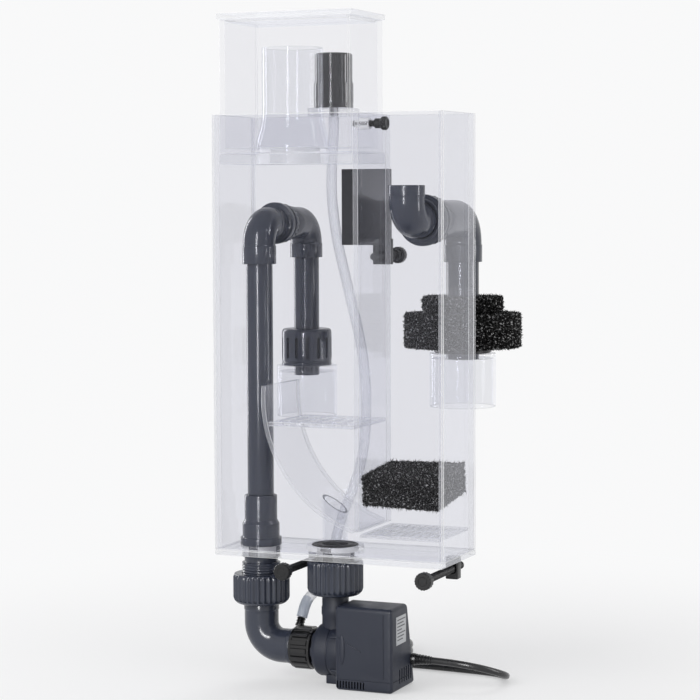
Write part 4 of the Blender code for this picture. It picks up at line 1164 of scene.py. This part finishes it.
def make_silencer():
    profile = [(0, 472.4), (15.8, 472.4), (17.2, 471.8), (18.0, 470.6), (18.0, 446.6), (18.3, 444.6), (18.9, 443.6),
               (18.9, 424.6), (18.5, 424.2), (18.5, 423.2), (18.9, 422.8), (18.9, 420.9), (18.3, 420.3), (4.0, 420.3),
               (4.0, 412.8), (3.6, 412.4), (0, 412.4)]
    profile.reverse()
    bm = bmesh.new()
    lathe(bm, soften(profile, 0.3, False), (79, 104, 0), "Z", 96, closed=False)
    mesh_piece("air_silencer_moulded", bm, ["air_silencer"], [SMOKE])


# ---------------------------------------------------------------- sponges

PORE = 2.7                  # spacing of the foam's cells, mm
BETWEEN_WALLS = ((145.4, 5.4, 40), (222.6, 84.6, 95))      # the room that the sponge block may fill


def pores(point, size):
    """How open a foam surface is at a point in millimetres: 0 on a strut and 1 in the middle of a cell."""
    distances, _ = noise.voronoi(point / size)
    return clamp((distances[1] - distances[0] - 0.06) * 3.4)


def pit(bm, size, depth, lump, share, longest, room):
    """Opens cells all over a dense foam surface, makes it slightly uneven and keeps how open each point is."""
    bm.normal_update()
    layer = bm.verts.layers.float.new("pore")
    moves = []
    for v in bm.verts:
        p = in_mm(v.co)
        v[layer] = opened = pores(p, size)
        moves.append(v.normal * -(opened * depth + (noise.noise(p / 1.7) * 0.5 + 0.5) * lump) * MM)
    for v, move in zip(bm.verts, moves):
        v.co += move
    bristle(bm, layer, share, longest)
    least, most = at(*room[0]), at(*room[1])
    for v in bm.verts:
        v.co = [clamp(*c) for c in zip(v.co, least, most)]


def bristle(bm, layer, share, longest):
    """Cut strut ends that stand out of the foam's skin: thin three-sided spikes, so that the outline is ragged."""
    draw = random.Random(7)
    bm.normal_update()
    roots = [(v.co.copy(), v.normal.copy()) for v in bm.verts if v[layer] < 0.5 and draw.random() < share]
    for root, out in roots:
        lean = Vector([draw.uniform(-0.6, 0.6) for _ in range(3)])
        way = (out + lean).normalized()
        side = way.orthogonal().normalized()
        side.rotate(Matrix.Rotation(draw.uniform(0, 2 * pi), 3, way))
        tip = bm.verts.new(root + way * draw.uniform(1.0, longest) * MM)
        foot = []
        for k in range(3):
            arm = side.copy()
            arm.rotate(Matrix.Rotation(2 * pi * k / 3, 3, way))
            foot.append(bm.verts.new(root - way * 0.6 * MM + arm * draw.uniform(0.35, 0.62) * MM))
        for k in range(3):
            bm.faces.new([foot[k], foot[(k + 1) % 3], tip])
        bm.faces.new(foot[::-1])


def make_sponge_block():
    """A cut block of coarse filter foam that leans on one long edge."""
    lo, hi = Vector((145.6, 6.8, 50.0)), Vector((222.4, 83.0, 80.2))
    size, centre = hi - lo, (lo + hi) / 2
    step = 0.8
    bm = bmesh.new()
    made = bmesh.ops.create_cube(bm, size=1.0)
    for axis in range(3):
        edges = [e for e in bm.edges if abs((e.verts[0].co - e.verts[1].co)[axis]) > 0.9]
        bmesh.ops.subdivide_edges(bm, edges=edges, cuts=round(size[axis] / step), use_grid_fill=True)
    tilt = Matrix.Rotation(radians(6), 3, "X")
    for v in bm.verts:
        p = Vector((v.co.x * size.x, v.co.y * size.y, v.co.z * size.z))
        half = size / 2
        edge = 2.2
        inner = Vector([clamp(c, -h + edge, h - edge) for c, h in zip(p, half)])
        out = p - inner
        if out.length > edge:
            p = inner + out.normalized() * edge
        for axis in range(3):
            others = [1 - (p[o] / half[o]) ** 2 for o in range(3) if o != axis]
            if abs(abs(p[axis]) - half[axis]) < 0.6:
                p[axis] *= 1 - 0.012 * (1 - others[0] * others[1])
        p = tilt @ p
        p.z += 0.9 * sin(p.x / 31.0) * (p.y / 36.0)
        v.co = at(*(centre + p + Vector((0, 0, 4.5))))
    pit(bm, PORE, 3.6, 2.6, 0.34, 4.2, BETWEEN_WALLS)
    piece = mesh_piece("sponge_block_foam", bm, ["sponge_block"], [SPONGE], 80)


def foam_ring(name, node, centre, outer, inner, lo, hi):
    """A turned ring of filter foam with soft edges and open cells."""
    edge, step = 2.4, 0.85
    radial = max(4, round((outer - inner - 2 * edge) / step))
    tall = max(4, round((hi - lo - 2 * edge) / step))
    outline = [(inner + edge + (outer - inner - 2 * edge) * k / radial, lo) for k in range(radial + 1)]
    outline += [(outer - edge + edge * sin(a), lo + edge - edge * cos(a)) for a in (0.4, 0.8, 1.2)]
    outline += [(outer, lo + edge + (hi - lo - 2 * edge) * k / tall) for k in range(tall + 1)]
    outline += [(outer - edge + edge * cos(a), hi - edge + edge * sin(a)) for a in (0.4, 0.8, 1.2)]
    outline += [(outer - edge - (outer - inner - 2 * edge) * k / radial, hi) for k in range(radial + 1)]
    outline += [(inner + 0.6, hi - 1.2), (inner, hi - edge), (inner, (lo + hi) / 2), (inner, lo + edge),
                (inner + 0.6, lo + 1.2)]
    bulge = [(r + (0.7 * sin(pi * (z - lo) / (hi - lo)) - 0.7 if r > outer - 3 else 0), z) for r, z in outline]
    bm = bmesh.new()
    lathe(bm, bulge, centre, "Z", round(2 * pi * outer / step))
    bmesh.ops.recalc_face_normals(bm, faces=bm.faces)
    pit(bm, PORE, 3.6, 2.6, 0.20, 2.8, ((0, 0, lo - 0.2), (400, 400, hi + 1.5)))
    piece = mesh_piece(name, bm, [node], [SPONGE], 80)


def make_foams():
    for name, node, outer in (("foam_upper_ring", "foam_upper", 41.2), ("foam_lower_ring", "foam_lower", 58.8)):
        foam_ring(name, node, DRAIN_LINE, outer, 16.6, low(node).z, high(node).z)


def sponge_material():
    """Black open-cell foam: pits painted near black as painted shade, and struts flecked with painted glints."""
    material, tree, shader = new_tree("filter_foam")
    pore = add_node(tree, "Attribute", attribute_name="pore")
    fine = noise_node(tree, 900, 3)
    # Painted glints: pale flecks in the struts' colour stand for light caught on the struts.
    bright = add_node(tree, "MapRange", {"From Min": 0.60, "From Max": 0.66}, {"Value": noise_node(tree, 520, 1)})
    strut = two_tone(tree, bright.outputs["Result"], (0.004, 0.004, 0.004), (0.55, 0.55, 0.55))
    # Painted shade: the open cells are painted darker than the struts.
    tint = add_node(tree, "Mix", {"B": (0.0008, 0.0008, 0.0009, 1)}, {"Factor": pore.outputs["Fac"], "A": strut},
                    data_type="RGBA")
    tree.links.new(tint.outputs["Result"], shader.inputs["Base Color"])
    tree.links.new(spread(tree, fine, 0.34, 0.70), shader.inputs["Roughness"])
    shader.inputs["Specular IOR Level"].default_value = 0.12
    bump(tree, fine, shader, 0.8, 0.0006)
    return material


SPONGE = sponge_material()
LABEL = moulded("rating_plate", (0.52, 0.53, 0.55), 0.35, drift=0.04)
LABEL_BAR = moulded("rating_plate_bars", (0.09, 0.095, 0.105), 0.45, drift=0.04)

make_venturi()
make_volute()
make_housing()
make_label()
make_boot()
make_screws()
make_black_fittings()
make_silencer()
make_sponge_block()
make_foams()

NODES["impeller_rotor"].data.materials.clear()
NODES["impeller_rotor"].data.materials.append(MAGNET)
NODES["rotor_shaft"].data.materials.clear()
NODES["rotor_shaft"].data.materials.append(CERAMIC)
